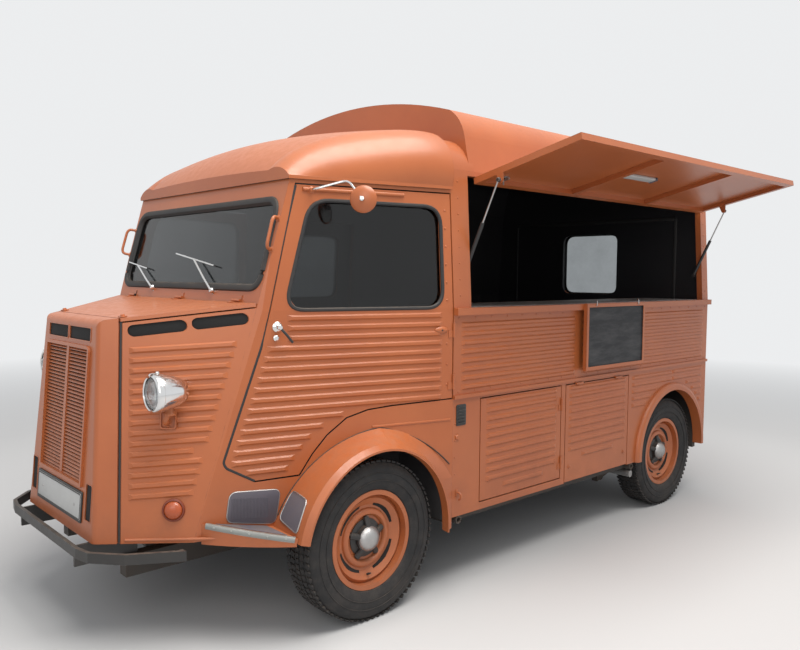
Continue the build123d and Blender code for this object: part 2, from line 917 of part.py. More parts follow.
hatch_middle_x = (opening_front_x + opening_rear_x) / 2
hatch_hinge_reach = (opening_front_x - opening_rear_x) / 2 - 220
hatch_hinge_places = (hatch_middle_x - hatch_hinge_reach, hatch_middle_x, hatch_middle_x + hatch_hinge_reach)


def hatch_hinge():
    """Both halves of the hatch's hinges, with the hatch shut."""
    point = (0, wall_y(hatch_pivot_z), hatch_pivot_z)
    down = (0, lean_slope, -1)
    up = (0, -lean_slope, 1)
    return hinge(point, (1, 0, 0), hatch_out, down, up, hatch_hinge_places)


def hatch_piece():
    """Serving hatch: a tray-shaped lid, modelled shut and then swung open."""
    front = opening_front_x - strut_room
    rear = opening_rear_x + strut_room
    top = opening_top_z - moving_gap
    foot = counter_top_z + moving_gap

    def slab(x0, x1, z0, z1, skin, depth):
        outline = [
            (wall_y(z1) - skin, z1),
            (wall_y(z1) - depth, z1),
            (wall_y(z0) - depth, z0),
            (wall_y(z0) - skin, z0),
        ]
        return prism_yz(outline, x0, x1)

    lid = slab(rear, front, foot, top, 0, hatch_thickness)
    bays = 3
    width = (front - rear - (bays + 1) * hatch_border) / bays
    for i in range(bays):
        start = rear + hatch_border + i * (width + hatch_border)
        lid -= slab(
            start, start + width, foot + hatch_border, top - hatch_border, hatch_skin, hatch_thickness + 1
        )
    return lid


def strut_eye():
    """Place of the rear strut's eye on the open hatch, as y and z."""
    axis = hatch_axis()
    angle = radians(hatch_open_angle)
    y = axis.Y + strut_lever * cos(angle) + strut_drop * sin(angle)
    z = axis.Z + strut_lever * sin(angle) - strut_drop * cos(angle)
    return y, z


def strut_pieces():
    """Tube and rod of the rear gas strut, with the stubs that carry its two ends."""
    x = opening_rear_x + strut_room / 2
    eye_y, eye_z = strut_eye()
    foot = Vector(x, strut_foot_y, strut_foot_z)
    eye = Vector(x, eye_y, eye_z)
    way = (eye - foot).normalized()
    tube = rod(foot, foot + way * strut_tube_length, strut_radius)
    tube -= rod(foot + way * strut_blind, foot + way * (strut_tube_length + 1), strut_rod_radius + running_gap)
    eye_half = strut_radius + 1
    tube += rod((x - eye_half, foot.Y, foot.Z), (x + eye_half, foot.Y, foot.Z), 11)
    bar = rod(eye - way * strut_rod_length, eye, strut_rod_radius)
    bar += rod((x - 6, eye.Y, eye.Z), (x + strut_radius, eye.Y, eye.Z), 9)
    foot_stub = rod(
        (opening_rear_x - 2, foot.Y, foot.Z), (x - eye_half - running_gap, foot.Y, foot.Z), 7
    )
    foot_bracket = block(
        opening_rear_x - 3, opening_rear_x, foot.Y - 10, inner_y + wall / 2, foot.Z - 10, foot.Z + 10
    )
    end = opening_rear_x + strut_room
    hatch_stub = rod((x + strut_radius + running_gap, eye.Y, eye.Z), (end + 2, eye.Y, eye.Z), 7)
    bracket = rod((end, eye.Y, eye.Z), (end + 6, eye.Y, eye.Z), 13)
    angle = radians(hatch_open_angle)
    up = Vector(0, -sin(angle), cos(angle))
    across = Vector(0, cos(angle), sin(angle))
    reach = strut_drop - knuckle_radius - hatch_thickness / 2
    corners = [eye - across * 13, eye + across * 13, eye + across * 24 + up * reach, eye - across * 24 + up * reach]
    bracket += prism_yz([(corner.Y, corner.Z) for corner in corners], end, end + 6)
    return tube, bar, foot_stub + foot_bracket, hatch_stub + bracket


def fore_and_aft(shape):
    """The same piece at the other end of the serving opening."""
    middle = (opening_front_x + opening_rear_x) / 2
    return mirror(shape, about=Plane(origin=(middle, 0, 0), z_dir=(1, 0, 0)))


def window_frame_piece():
    """Upper part of the serving side: two posts and a header round the opening."""
    frame = side_wall(body_rear_x, body_front_x) & block(-9000, 0, cut_inner, cut_outer, rail_z, eaves_z + 5)
    frame -= block(opening_rear_x, opening_front_x, cut_inner, cut_outer, rail_z - 5, opening_top_z)
    foot_stub = strut_pieces()[2]
    return fused(frame, hatch_hinge()[1] + [foot_stub, fore_and_aft(foot_stub)])


def side_left_piece():
    """Serving side of the load body, up to the counter."""
    side = side_wall(body_rear_x, body_front_x) & block(-9000, 0, cut_inner, cut_outer, 0, rail_z)
    side -= wall_panel(locker, wall + 5)
    side -= block(flap[1], flap[0], cut_inner, cut_outer, 0, flap[3])
    side -= disc_y(rear_axle_x, rear_arch_z, rear_arch_radius, cut_inner, cut_outer)
    side -= block(
        rear_axle_x - rear_arch_radius, rear_axle_x + rear_arch_radius, cut_inner, cut_outer, 0, rear_arch_z
    )
    side += arch_flare(
        rear_axle_x,
        rear_arch_z,
        rear_arch_radius,
        rear_flare_width,
        inner_y,
        body_half_width,
        body_half_width + flare_reach,
        sill_z,
    )
    side += block(
        body_rear_x,
        body_front_x,
        body_half_width - 5,
        body_half_width + moulding_reach,
        moulding_z - moulding_height / 2,
        moulding_z + moulding_height / 2,
    )
    side = fused(side, cab_door_hinge()[1] + locker_hinge()[1] + flap_hinge()[1])
    ribs = side_ribs([(body_front_x - 50, panel_seam_x + 30), (panel_seam_x - 30, body_rear_x + 60)], upper_ribs)
    return side + ribs + arch_ribs(rear_flare_width, flap[1] - 34)


jack_places = (body_front_x - 49, rear_axle_x + 470)
jack_bore = 13
jack_radius = 19
jack_length = 39
jack_z = sill_z - jack_radius - 2


def jack_sockets_piece():
    """Short tubes under both sills that take the lifting bar of a jack."""
    sockets = []
    for x in jack_places:
        tube = disc_y(x, jack_z, jack_radius, body_half_width - jack_length, body_half_width)
        foot = block(x - 14, x + 14, inner_y + 3, body_half_width - 3, jack_z, sill_z)
        socket = tube + foot - disc_y(x, jack_z, jack_bore, cut_inner, cut_outer)
        sockets += [socket, mirrored(socket)]
    return Compound(sockets)


# Sliding door on the right: x front, x rear, z foot, z top
slider = (body_front_x - 35, body_front_x - 915, sill_z + 17, eaves_z - 105)
slider_hole = (slider[0] - 60, slider[1] + 50, floor_top_z, slider[3] - 30)
slider_thickness = 32
slider_gap = 14
slider_travel = slider[1] - (rear_axle_x + 438)


def side_right_piece():
    """Far side of the load body, with the hole for the sliding door and its two tracks."""
    side = side_wall(body_rear_x, body_front_x)
    side -= disc_y(rear_axle_x, rear_arch_z, rear_arch_radius, cut_inner, cut_outer)
    side -= block(
        rear_axle_x - rear_arch_radius, rear_axle_x + rear_arch_radius, cut_inner, cut_outer, 0, rear_arch_z
    )
    side += arch_flare(
        rear_axle_x,
        rear_arch_z,
        rear_arch_radius,
        rear_flare_width,
        inner_y,
        body_half_width,
        body_half_width + 9,
        sill_z,
    )
    side -= block(slider_hole[1], slider_hole[0], cut_inner, cut_outer, slider_hole[2], slider_hole[3])
    for front, z0, z1 in slider_tracks:
        out = wall_y(z1) + slider_gap - 4
        side += block(slider[1] - slider_travel, front, wall_y(z1) - 8, out, z0, z1)
    side = fused(side, cab_door_hinge()[1])
    ribs = side_ribs([(slider[1] - 50, body_rear_x + 60)], upper_ribs)
    ribs += side_ribs([(slider[1] - 50, flap[1])], lower_ribs) + arch_ribs(rear_flare_width, flap[1] - 34)
    return mirrored(side + ribs)


# Tracks of the sliding door: x of the front end, z foot, z top
slider_tracks = [(slider[0], 1890, 1904), (slider_hole[1], 357, 367)]


def sliding_door_pieces():
    """Sliding door that hangs outside the right wall, and its pane."""
    x0, x1, z0, z1 = slider
    out = slider_gap + slider_thickness
    outline = [
        (body_half_width + out, z0),
        (body_half_width + out, waist_z),
        (wall_y(z1) + out, z1),
        (wall_y(z1) + slider_gap, z1),
        (body_half_width + slider_gap, waist_z),
        (body_half_width + slider_gap, z0),
    ]
    door = prism_yz(outline, x1, x0)
    track_z0, track_z1 = slider_tracks[0][1:]
    hanger_y = wall_y(track_z1)
    for x in (x0 - 120, x1 + 60):
        door += block(x, x + 60, hanger_y + slider_gap, hanger_y + out, z1 - 20, track_z1 + running_gap + 10)
        door += block(
            x,
            x + 60,
            hanger_y + 4,
            hanger_y + out,
            track_z1 + running_gap,
            track_z1 + running_gap + 10,
        )
    front, rear, foot, top = x0 - 140, x1 + 140, waist_z - 14, z1 - 120
    corners = [(front, top), (rear, top), (rear, foot), (front, foot)]
    window = rounded_window(corners, 60, cut_inner, cut_outer)
    pane_y = body_half_width + slider_gap + (slider_thickness - glass_thickness) / 2
    pane_top = wall_y(z1) + slider_gap + (slider_thickness - glass_thickness) / 2
    pane = prism_yz(
        [
            (pane_y, z0),
            (pane_y, waist_z),
            (pane_top, z1),
            (pane_top + glass_thickness, z1),
            (pane_y + glass_thickness, waist_z),
            (pane_y + glass_thickness, z0),
        ],
        x1,
        x0,
    )
    face = body_half_width + out
    ribs = side_ribs([(x0 - 60, x1 + 60)], upper_ribs + lower_ribs, face)
    return mirrored(door - window + ribs), mirrored(pane & window)


def floor_piece():
    """Load floor with its two long rails, cross-member and rear wheel boxes."""
    floor = block(body_rear_x + wall, body_front_x, -inner_y, inner_y, floor_top_z - floor_thickness, floor_top_z)
    half = rail_section / 2
    for y in (rail_y, -rail_y):
        floor += block(body_rear_x + wall, rail_front_x, y - half, y + half, rail_foot_z, rail_top_z)
    floor += block(230, 320, -rail_y, rail_y, rail_foot_z, rail_foot_z + 45)
    box_y = wheel_box_y
    reach = rear_arch_radius + 15
    for side in (1, -1):
        outer = block(rear_axle_x - reach, rear_axle_x + reach, box_y, inner_y, floor_top_z - floor_thickness, 790)
        inner = block(rear_axle_x - reach + 15, rear_axle_x + reach - 15, box_y + 15, inner_y + 5, 0, 775)
        if side < 0:
            outer, inner = mirrored(outer), mirrored(inner)
        floor = floor + outer - inner
    return floor


def roof_profile(x, inset):
    """End view of the load roof from the eaves up."""
    edge = wall_y(eaves_z) - inset
    low = eaves_z - (1 if inset else 0)
    crease = (x, roof_crease_y - inset, roof_crease_z)
    shoulder = (x, roof_shoulder_y - 0.6 * inset, roof_shoulder_z - 0.8 * inset)
    bulge = (
        x,
        (crease[1] + shoulder[1]) / 2 + 15,
        (crease[2] + shoulder[2]) / 2 + 11,
    )
    right = [Line((x, edge, low), crease), ThreePointArc(crease, bulge, shoulder)]
    top = ThreePointArc(shoulder, (x, 0, roof_crown_z - inset), (x, -shoulder[1], shoulder[2]))
    left = [
        ThreePointArc((x, -shoulder[1], shoulder[2]), (x, -bulge[1], bulge[2]), (x, -crease[1], crease[2])),
        Line((x, -crease[1], crease[2]), (x, -edge, low)),
    ]
    return make_face(right + [top] + left + [Line((x, -edge, low), (x, edge, low))])


def collar_profile(x, inset):
    """End view of the low neck between the cab roof and the load roof."""
    edge = wall_y(eaves_z) - inset
    low = eaves_z - (1 if inset else 0)
    shoulder_y = 735 - inset / 2
    shoulder_z = 2146 - inset
    return make_face(
        [
            Line((x, -edge, low), (x, edge, low)),
            ThreePointArc((x, edge, low), (x, 850 - inset, 2084 - inset / 2), (x, shoulder_y, shoulder_z)),
            ThreePointArc((x, shoulder_y, shoulder_z), (x, 0, 2192 - inset), (x, -shoulder_y, shoulder_z)),
            ThreePointArc((x, -shoulder_y, shoulder_z), (x, inset - 850, 2084 - inset / 2), (x, -edge, low)),
        ]
    )


def body_roof_piece():
    """Raised load roof with its upright front and rear ends and the neck to the cab."""
    length = roof_front_x - body_rear_x
    roof = extrude(roof_profile(body_rear_x, 0), amount=length, dir=(1, 0, 0))
    hollow = length - 2 * roof_skin
    roof -= extrude(roof_profile(body_rear_x + roof_skin, roof_skin), amount=hollow, dir=(1, 0, 0))
    neck = body_front_x - roof_front_x + roof_skin
    roof += extrude(collar_profile(roof_front_x - roof_skin, 0), amount=neck, dir=(1, 0, 0))
    roof -= extrude(
        collar_profile(roof_front_x - roof_skin - 5, cab_roof_skin + 8), amount=neck + 10, dir=(1, 0, 0)
    )
    return roof


rear_opening_half = 700
rear_opening_foot = 360
rear_opening_top = 1900
rear_split_z = 1160
rear_window = (240, 1360, 1812)
rear_ribs = [1094 - 42 * i for i in range(16)]
gate_ribs = [1310 - 42 * i for i in range(3)]


def rear_frame_piece():
    """Rear end frame around the tailgate and the two lower doors."""
    top = wall_y(eaves_z) - wall
    outline = [
        (-inner_y, floor_top_z),
        (inner_y, floor_top_z),
        (inner_y, waist_z),
        (top, eaves_z),
        (-top, eaves_z),
        (-inner_y, waist_z),
    ]
    frame = prism_yz(outline, body_rear_x, body_rear_x + wall)
    frame -= block(
        body_rear_x - 5,
        body_rear_x + wall + 5,
        -rear_opening_half,
        rear_opening_half,
        rear_opening_foot,
        rear_opening_top,
    )
    left = [half for half in rear_door_hinge()[1]]
    return fused(frame, left + [mirrored(half) for half in left] + tailgate_hinge()[1])


def rear_door_hinge():
    """Both halves of the left rear door's hinges."""
    point = (body_rear_x, rear_opening_half - moving_gap / 2, 0)
    return hinge(point, (0, 0, 1), (-1, 0, 0), (0, -1, 0), (0, 1, 0), (520, 1010))


def tailgate_hinge():
    """Both halves of the tailgate's hinges."""
    point = (body_rear_x, 0, rear_opening_top - moving_gap / 2)
    return hinge(point, (0, 1, 0), (-1, 0, 0), (0, 0, -1), (0, 0, 1), (-450, 450))


def rear_doors():
    """Left lower rear door, tailgate and tailgate pane."""
    x0, x1 = body_rear_x, body_rear_x + wall
    half = rear_opening_half - moving_gap
    left = block(x0, x1, moving_gap / 2, half, rear_opening_foot + moving_gap, rear_split_z - moving_gap / 2)
    left = fused(left, rear_door_hinge()[0])
    left += [rib((x0, 60, z), (x0, half - 50, z), (-1, 0, 0)) for z in rear_ribs]
    gate = block(x0, x1, -half, half, rear_split_z + moving_gap / 2, rear_opening_top - moving_gap)
    width, foot, top = rear_window
    hole = block(x0 - 5, x1 + 5, -width, width, foot, top)
    hole = fillet(hole.edges().filter_by(Axis.X), 60)
    gate = fused(gate - hole, tailgate_hinge()[0])
    gate += [rib((x0, 60 - half, z), (x0, half - 60, z), (-1, 0, 0)) for z in gate_ribs]
    middle = x0 + (wall - glass_thickness) / 2
    pane = hole & block(middle, middle + glass_thickness, -500, 500, 1000, 2000)
    return left, gate, pane


def counter_piece():
    """Serving counter: the board inside and the lip along the whole side."""
    board = block(
        opening_rear_x,
        opening_front_x,
        inner_y - counter_depth,
        body_half_width + rail_reach,
        rail_z,
        counter_top_z,
    )
    lip = block(
        body_rear_x, body_front_x, body_half_width, body_half_width + rail_reach, rail_z, counter_top_z
    )
    return board + lip


def menu_board_piece():
    """Framed board that hangs on the counter lip."""
    face = body_half_width + rail_reach + running_gap
    middle = (opening_front_x + opening_rear_x) / 2
    x0, x1, z0, z1 = middle - 336, middle + 274, 974, counter_top_z
    board = block(x0, x1, face, face + 18, z0, z1)
    return board - block(x0 + 18, x1 - 18, face + 12, face + 20, z0 + 18, z1 - 18)


def bumper_piece():
    """Front bumper bar with its wrapped ends and its two brackets, and the rear step."""
    z0, z1 = 388, 428
    side = body_half_width
    outer = [(760, side - 240), (955, side - 355), (1052, side - 468), (1068, side - 550)]
    outer += [(x, -y) for x, y in reversed(outer)]
    face = make_face(Polyline(*[(x, y) for x, y in outer], close=True))
    bar = extrude(Pos(0, 0, z0) * face, amount=z1 - z0, dir=(0, 0, 1))
    inside = offset(face, amount=-16, kind=Kind.INTERSECTION)
    bar -= extrude(Pos(0, 0, z0 - 5) * inside, amount=z1 - z0 + 10, dir=(0, 0, 1))
    bar -= block(700, 790, 270 - side, side - 270, z0 - 5, z1 + 5)
    for y in (rail_y, -rail_y):
        bar += block(rail_front_x - 60, 1056, y - 6, y + 6, rail_top_z, z1 - 6)
    return bar


def rear_bumper_piece():
    """Rear step bumper on the ends of the long rails."""
    bar = block(body_rear_x - 125, body_rear_x - 60, -760, 760, 262, 342)
    bar = fillet(bar.edges().filter_by(Axis.Z), 20)
    for y in (rail_y, -rail_y):
        bar += block(body_rear_x - 70, body_rear_x + wall, y - 25, y + 25, 280, 335)
    return bar


def wheel_profile(points):
    """A closed outline in radius and width, ready to turn about the axle."""
    return make_face(Polyline(*[(r, w, 0) for w, r in points], close=True))


def tyre_solid():
    """Tyre with round shoulders, turned about Y, centred on its own middle plane."""
    half = tyre_width / 2
    bead = rim_width / 2 - rim_wall - 1 - running_gap
    flange = rim_flange_radius + running_gap
    face = make_face(
        Polyline(
            (rim_radius + running_gap, -bead, 0),
            (flange, -bead, 0),
            (flange, -rim_width / 2 - 2, 0),
            (flange + 14, -half + 6, 0),
            (tyre_radius - tyre_shoulder - 50, -half, 0),
            (tyre_radius - tyre_shoulder, -half + 4, 0),
            (tyre_radius, -half + tyre_shoulder + 4, 0),
            (tyre_radius, half - tyre_shoulder - 4, 0),
            (tyre_radius - tyre_shoulder, half - 4, 0),
            (tyre_radius - tyre_shoulder - 50, half, 0),
            (flange + 14, half - 6, 0),
            (flange, rim_width / 2 + 2, 0),
            (flange, bead, 0),
            (rim_radius + running_gap, bead, 0),
            close=True,
        )
    )
    return revolve(face, Axis.Y)


def rim_solid():
    """Steel wheel with a stepped dish, brake drum behind and a hub cap, outside towards +Y."""
    half = rim_width / 2
    face = make_face(
        Polyline(
            (0, -drum_depth + 5, 0),
            (drum_radius, -drum_depth + 5, 0),
            (drum_radius, 5, 0),
            (150, 12, 0),
            (176, 34, 0),
            (rim_radius - rim_wall, 22, 0),
            (rim_radius - rim_wall, -half, 0),
            (rim_flange_radius, -half, 0),
            (rim_flange_radius, -half + rim_wall, 0),
            (rim_radius, -half + rim_wall + 1, 0),
            (rim_radius, half - rim_wall - 1, 0),
            (rim_flange_radius, half - rim_wall, 0),
            (rim_flange_radius, half, 0),
            (rim_radius - rim_wall, half, 0),
            (rim_radius - rim_wall - 2, 32, 0),
            (178, 44, 0),
            (146, 22, 0),
            (hub_cap_radius + 18, 14, 0),
            (hub_cap_radius, 16, 0),
            (hub_cap_radius - 8, hub_cap_reach, 0),
            (0, hub_cap_reach + 10, 0),
            close=True,
        )
    )
    return revolve(face, Axis.Y)


def placed_wheel(shape, x, y):
    """A wheel piece on its axle, with its outside outwards."""
    placed = Pos(x, abs(y), hub_z) * shape
    return mirrored(placed) if y < 0 else placed


drum_face_y = 5 - drum_depth


def knuckle_piece():
    """Left steering knuckle: kingpin post, stub and brake plate."""
    plate_y = front_wheel_y + drum_face_y - running_gap
    post = rod((0, kingpin_y, hub_z - 82), (0, kingpin_y, hub_z + 82), kingpin_radius)
    plate = disc_y(0, hub_z, drum_radius - 8, plate_y - 8, plate_y)
    return post + plate + disc_y(0, hub_z, 36, kingpin_y, plate_y)


def suspension_piece():
    """Front wishbones and rear trailing arms of the left side."""
    low = hub_z - 82 - running_gap
    high = hub_z + 82 + running_gap
    face = rail_y + rail_section / 2
    eye = kingpin_radius + 9
    lower = rod((0, kingpin_y, low - 26), (0, kingpin_y, low), eye)
    lower += rod((0, kingpin_y - 10, low - 13), (90, face - 20, 275), 12)
    lower += rod((0, kingpin_y - 10, low - 13), (-90, face - 20, 275), 12)
    lower -= block(-300, 300, face - 100, face, rail_foot_z, rail_top_z)
    lower -= block(-300, 300, 0, face, 0, 500)
    upper = rod((0, kingpin_y, high), (0, kingpin_y, high + 24), eye)
    upper += rod((0, kingpin_y - 10, high + 12), (60, face - 15, high + 12), 11)
    upper += rod((0, kingpin_y - 10, high + 12), (-60, face - 15, high + 12), 11)
    upper += block(-90, 90, face - 30, face, rail_top_z, high + 30)
    pivot_x = rear_axle_x + 400
    tube_z = rail_foot_z - 32 - running_gap
    arm_y = 655
    tube = rod((pivot_x, 0, tube_z), (pivot_x, arm_y + 20, tube_z), 32)
    arm = prism_xz(
        [
            (pivot_x + 40, tube_z - 35),
            (pivot_x + 40, tube_z + 35),
            (rear_axle_x, hub_z + 40),
            (rear_axle_x - 45, hub_z),
            (rear_axle_x, hub_z - 40),
        ],
        arm_y - 20,
        arm_y + 20,
    )
    plate_y = rear_wheel_y + drum_face_y - running_gap
    stub = disc_y(rear_axle_x, hub_z, 34, arm_y, plate_y)
    plate = disc_y(rear_axle_x, hub_z, drum_radius - 8, plate_y - 8, plate_y)
    return lower, upper, tube + arm + stub + plate


headlamp_out = 74


def headlamp_piece():
    """Left headlamp: a bullet shell on a bracket on the nose side."""
    face = make_face(
        [
            Line((0, 0), (0, 62)),
            Line((0, 62), (-6, 75)),
            Line((-6, 75), (-26, 75)),
            ThreePointArc((-26, 75), (-120, 56), (-172, 0)),
            Line((-172, 0), (0, 0)),
        ]
    )
    shell = revolve(face, Axis.X)
    seat_y = nose_level(735, 895)
    lamp = Pos(855, seat_y + headlamp_out, 1035) * shell
    way = Vector(*nose_normal)
    foot = Vector(735, seat_y, 895) + way * rib_height
    knee = foot + way * 69
    bracket = rod(foot, knee, 12) + rod(knee - Vector(0, 0, 8), Vector(knee.X, knee.Y + 8, 985), 12)
    bracket += rod(foot, foot + way * 6, 30)
    return lamp + bracket


def nose_level(x, z):
    """Half width of the nose at a place."""
    nx, ny, nz = nose_normal
    full = nx * nose_corner_x + ny * nose_corner_y + nz * nose_top_z
    return (full - nx * x - nz * z) / ny


def mirror_piece():
    """Left mirror: a round head on a bent arm from the door's top corner."""
    x, z = 200, 1846
    seat = Vector(x, door_y(x) - (z - waist_z) * lean_slope, z)
    clamp = rod(seat, seat + Vector(cab_taper, 1, lean_slope) * 12, 12)
    knee = Vector(118, 872, 1882)
    head = Vector(100, 950, 1800)
    arm = rod(seat + Vector(1, 5, 0), knee, 5) + rod(knee, head, 5)
    arm += Pos(*knee) * Sphere(5)
    way = Vector(0.8, 0.6, 0).normalized()
    disc = rod(head - way * 7, head + way * 7, 56)
    return clamp + arm + disc


def seat_piece():
    """Left seat: cushion and back on the wheel box."""
    top = wheel_box_z + cab_floor_thickness
    y0, y1 = 330, 690
    cushion = block(-330, 90, y0, y1, top, top + 120)
    cushion = fillet(cushion.edges().filter_by(Axis.X), 30)
    back = prism_xz(
        [(-330, top + 90), (-250, top + 90), (-320, top + 560), (-390, top + 560)], y0, y1
    )
    back = fillet(back.edges().filter_by(Axis.Y), 25)
    return cushion + back


column_top = (150, 400, 1150)
column_foot = (585, 400, 590)
column_radius = 18


def steering_wheel_piece():
    """Steering wheel and column in front of the driver."""
    centre = Vector(*column_top)
    foot = Vector(*column_foot)
    way = (centre - foot).normalized()
    plane = Plane(origin=centre, z_dir=way)
    wheel = plane.location * Torus(190, 11)
    column = rod(foot, centre, column_radius)
    for angle in (0, 120, 240):
        a = radians(angle)
        tip = plane.from_local_coords(Vector(182 * cos(a), 182 * sin(a), 0))
        column += rod(centre, tip, 8)
    return wheel + column - block(400, 700, 300, 500, 0, footwell_z + cab_floor_thickness)


def dashboard_piece():
    """Shelf and instrument panel behind the screen's foot."""
    box = prism_xz([(260, 1290), (460, 1290), (400, 1400), (280, 1400)], -560, 560)
    return (box & cab_solid(cab_wall)) - rod(column_foot, column_top, column_radius + 2)


def engine_piece():
    """Engine and gearbox, one plain block under the cover."""
    base = rail_foot_z + 45
    unit = block(-150, 700, -190, 190, base, 930)
    return unit + block(240, 310, 185, rail_y - rail_section / 2, base, base + 40) + block(
        240, 310, rail_section / 2 - rail_y, -185, base, base + 40
    )


def exhaust_piece():
    """Exhaust pipe with its silencer, out in front of the left rear wheel."""
    z = floor_top_z - floor_thickness - 32
    y = body_half_width - 460
    front, rear = body_front_x - 135, rear_axle_x + 470
    pipe = rod((front, y, z), (rear, y, z), 20)
    pipe += rod((front - 400, y, z), (rear + 560, y, z), 28)
    pipe += rod((rear, y - 20, z), (rear, body_half_width - 5, z), 20)
    for x in (front - 100, rear + 260):
        pipe += block(x, x + 30, y - 15, y + 15, z, floor_top_z - floor_thickness)
    return pipe


def build():
    """All pieces by name."""
    skin = cab_skin()
    door, pane = cab_door_and_pane()
    door = fused(door, cab_door_hinge()[0])
    mirror_left = mirror_piece()
    tube, bar, foot_stub, hatch_stub = strut_pieces()
    hatch = opened(fused(hatch_piece(), hatch_hinge()[0])) + hatch_stub + fore_and_aft(hatch_stub)
    left, gate, gate_pane = rear_doors()
    slider_door, slider_pane = sliding_door_pieces()
    lower, upper, rear_arm = suspension_piece()
    locker_lid = fused(wall_panel(locker, wall, moving_gap), locker_hinge()[0])
    locker_lid += side_ribs([(locker[0] - 44, locker[1] + 42)], lower_ribs)
    locker_lid += side_ribs([(locker[0] - 174, locker[1] + 154)], [last_rib])
    flap_lid = fused(wall_panel(flap, wall, moving_gap), flap_hinge()[0])
    flap_lid += side_ribs([(flap[0] - 32, flap[1] + 32)], lower_ribs[:-1])
    flap_lid += side_ribs([(flap[0] - 163, flap[1] + 162)], [lower_ribs[-1]])
    nodes = {
        "floor": floor_piece(),
        "side_left": side_left_piece(),
        "window_frame": window_frame_piece(),
        "side_right": side_right_piece(),
        "jack_sockets": jack_sockets_piece(),
        "body_roof": body_roof_piece(),
        "rear_frame": rear_frame_piece(),
        "cab_frame": cab_frame_piece(skin),
        "cab_floor": cab_floor_piece(skin),
        "footwells": footwells_piece(),
        "engine_cover": engine_cover_piece(),
        "cab_roof": cab_roof_piece(),
        "windscreen": windscreen_shape(-12, -12 - glass_thickness),
        "nose_shell": nose_shell_piece(),
        "grille": grille_piece(),
        "nose_sides": pair(nose_side_piece()),
        "front_wings": pair(front_wing_piece()),
        "cab_steps": pair(cab_step_piece()),
        "front_bumper": bumper_piece(),
        "rear_bumper": rear_bumper_piece(),
        "headlamps": pair(headlamp_piece()),
        "counter": counter_piece(),
        "menu_board": menu_board_piece(),
        "engine": engine_piece(),
        "exhaust": exhaust_piece(),
        "seats": pair(seat_piece()),
        "steering_wheel": steering_wheel_piece(),
        "dashboard": dashboard_piece(),
        "wishbones": Compound([lower, upper, mirrored(lower), mirrored(upper)]),
        "rear_axle": rear_arm + mirrored(rear_arm),
        "bonnet": bonnet_piece(),
        "door_left": door,
        "door_left_pane": pane,
        "mirror_left": mirror_left,
        "door_right": mirrored(door),
        "door_right_pane": mirrored(pane),
        "mirror_right": mirrored(mirror_left),
        "hatch": hatch,
        "strut_tube_rear": tube,
        "strut_rod_rear": bar,
        "strut_tube_front": fore_and_aft(tube),
        "strut_rod_front": fore_and_aft(bar),
        "locker_door": locker_lid,
        "side_flap": flap_lid,
        "tailgate": gate,
        "tailgate_pane": gate_pane,
        "rear_door_left": left,
        "rear_door_right": mirrored(left),
        "sliding_door": slider_door,
        "sliding_door_pane": slider_pane,
        "knuckle_left": knuckle_piece(),
        "knuckle_right": mirrored(knuckle_piece()),
    }
    tyre, rim = tyre_solid(), rim_solid()
    # name, x and y of each wheel
    wheels = [
        ("front_left", 0, front_wheel_y),
        ("front_right", 0, -front_wheel_y),
        ("rear_left", rear_axle_x, rear_wheel_y),
        ("rear_right", rear_axle_x, -rear_wheel_y),
    ]
    for name, x, y in wheels:
        nodes["tyre_" + name] = placed_wheel(tyre, x, y)
        nodes["wheel_" + name] = placed_wheel(rim, x, y)
    return nodes


def origin_shift(nodes):
    """Move that puts the origin under the middle of the whole vehicle."""
    box = Compound(list(nodes.values())).bounding_box()
    return Vector(-(box.min.X + box.max.X) / 2, -(box.min.Y + box.max.Y) / 2, -box.min.Z)


def main():
    nodes = build()
    shift = origin_shift(nodes)
    for name, shape in nodes.items():
        shape = Pos(*shift) * shape
        export_step(shape, "parts/" + name + ".step")
    print("origin shift", shift)


if __name__ == "__main__":
    main()
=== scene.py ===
# %% [markdown]
# # A food truck, dressed
# The metal shell of this truck was drawn in a CAD program and packed as a fixed frame. This
# lesson adds paint, glass, rubber seals, rivets, lamps, wipers and seats. Nothing that is
# added may make the truck bigger.

# %% Load the frame
import math
import bmesh
import bpy
from mathutils import Euler, Matrix, Vector
from mathutils.bvhtree import BVHTree


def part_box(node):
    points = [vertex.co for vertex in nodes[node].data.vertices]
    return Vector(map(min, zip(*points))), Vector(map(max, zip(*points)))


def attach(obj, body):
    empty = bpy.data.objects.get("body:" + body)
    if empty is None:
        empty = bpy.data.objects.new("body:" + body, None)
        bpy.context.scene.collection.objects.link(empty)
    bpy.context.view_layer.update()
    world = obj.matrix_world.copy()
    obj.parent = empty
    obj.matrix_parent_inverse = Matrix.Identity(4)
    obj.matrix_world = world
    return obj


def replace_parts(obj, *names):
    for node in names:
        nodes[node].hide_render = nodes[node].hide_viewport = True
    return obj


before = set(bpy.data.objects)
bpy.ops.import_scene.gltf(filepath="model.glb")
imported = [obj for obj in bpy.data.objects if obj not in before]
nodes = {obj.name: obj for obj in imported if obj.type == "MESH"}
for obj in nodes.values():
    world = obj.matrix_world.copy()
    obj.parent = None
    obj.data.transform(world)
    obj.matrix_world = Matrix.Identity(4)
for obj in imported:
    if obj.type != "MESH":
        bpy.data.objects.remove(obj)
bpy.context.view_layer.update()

# %% [markdown]
# The truck was measured from a point on the ground under its front axle: x to the nose,
# y to the serving side, z up, in millimetres. The hub of the left front tyre is a place
# both systems know, so it gives the step from one to the other. All later cells use `at`.

# %% Places in millimetres from the front axle


def middle_of(node):
    """Middle of a CAD node's box."""
    low_corner, high_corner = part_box(node)
    return (low_corner + high_corner) / 2


HALF_TRACK, HUB_HEIGHT = 0.835, 0.35
AXLE = middle_of("tyre_front_left") - Vector((0, HALF_TRACK, HUB_HEIGHT))


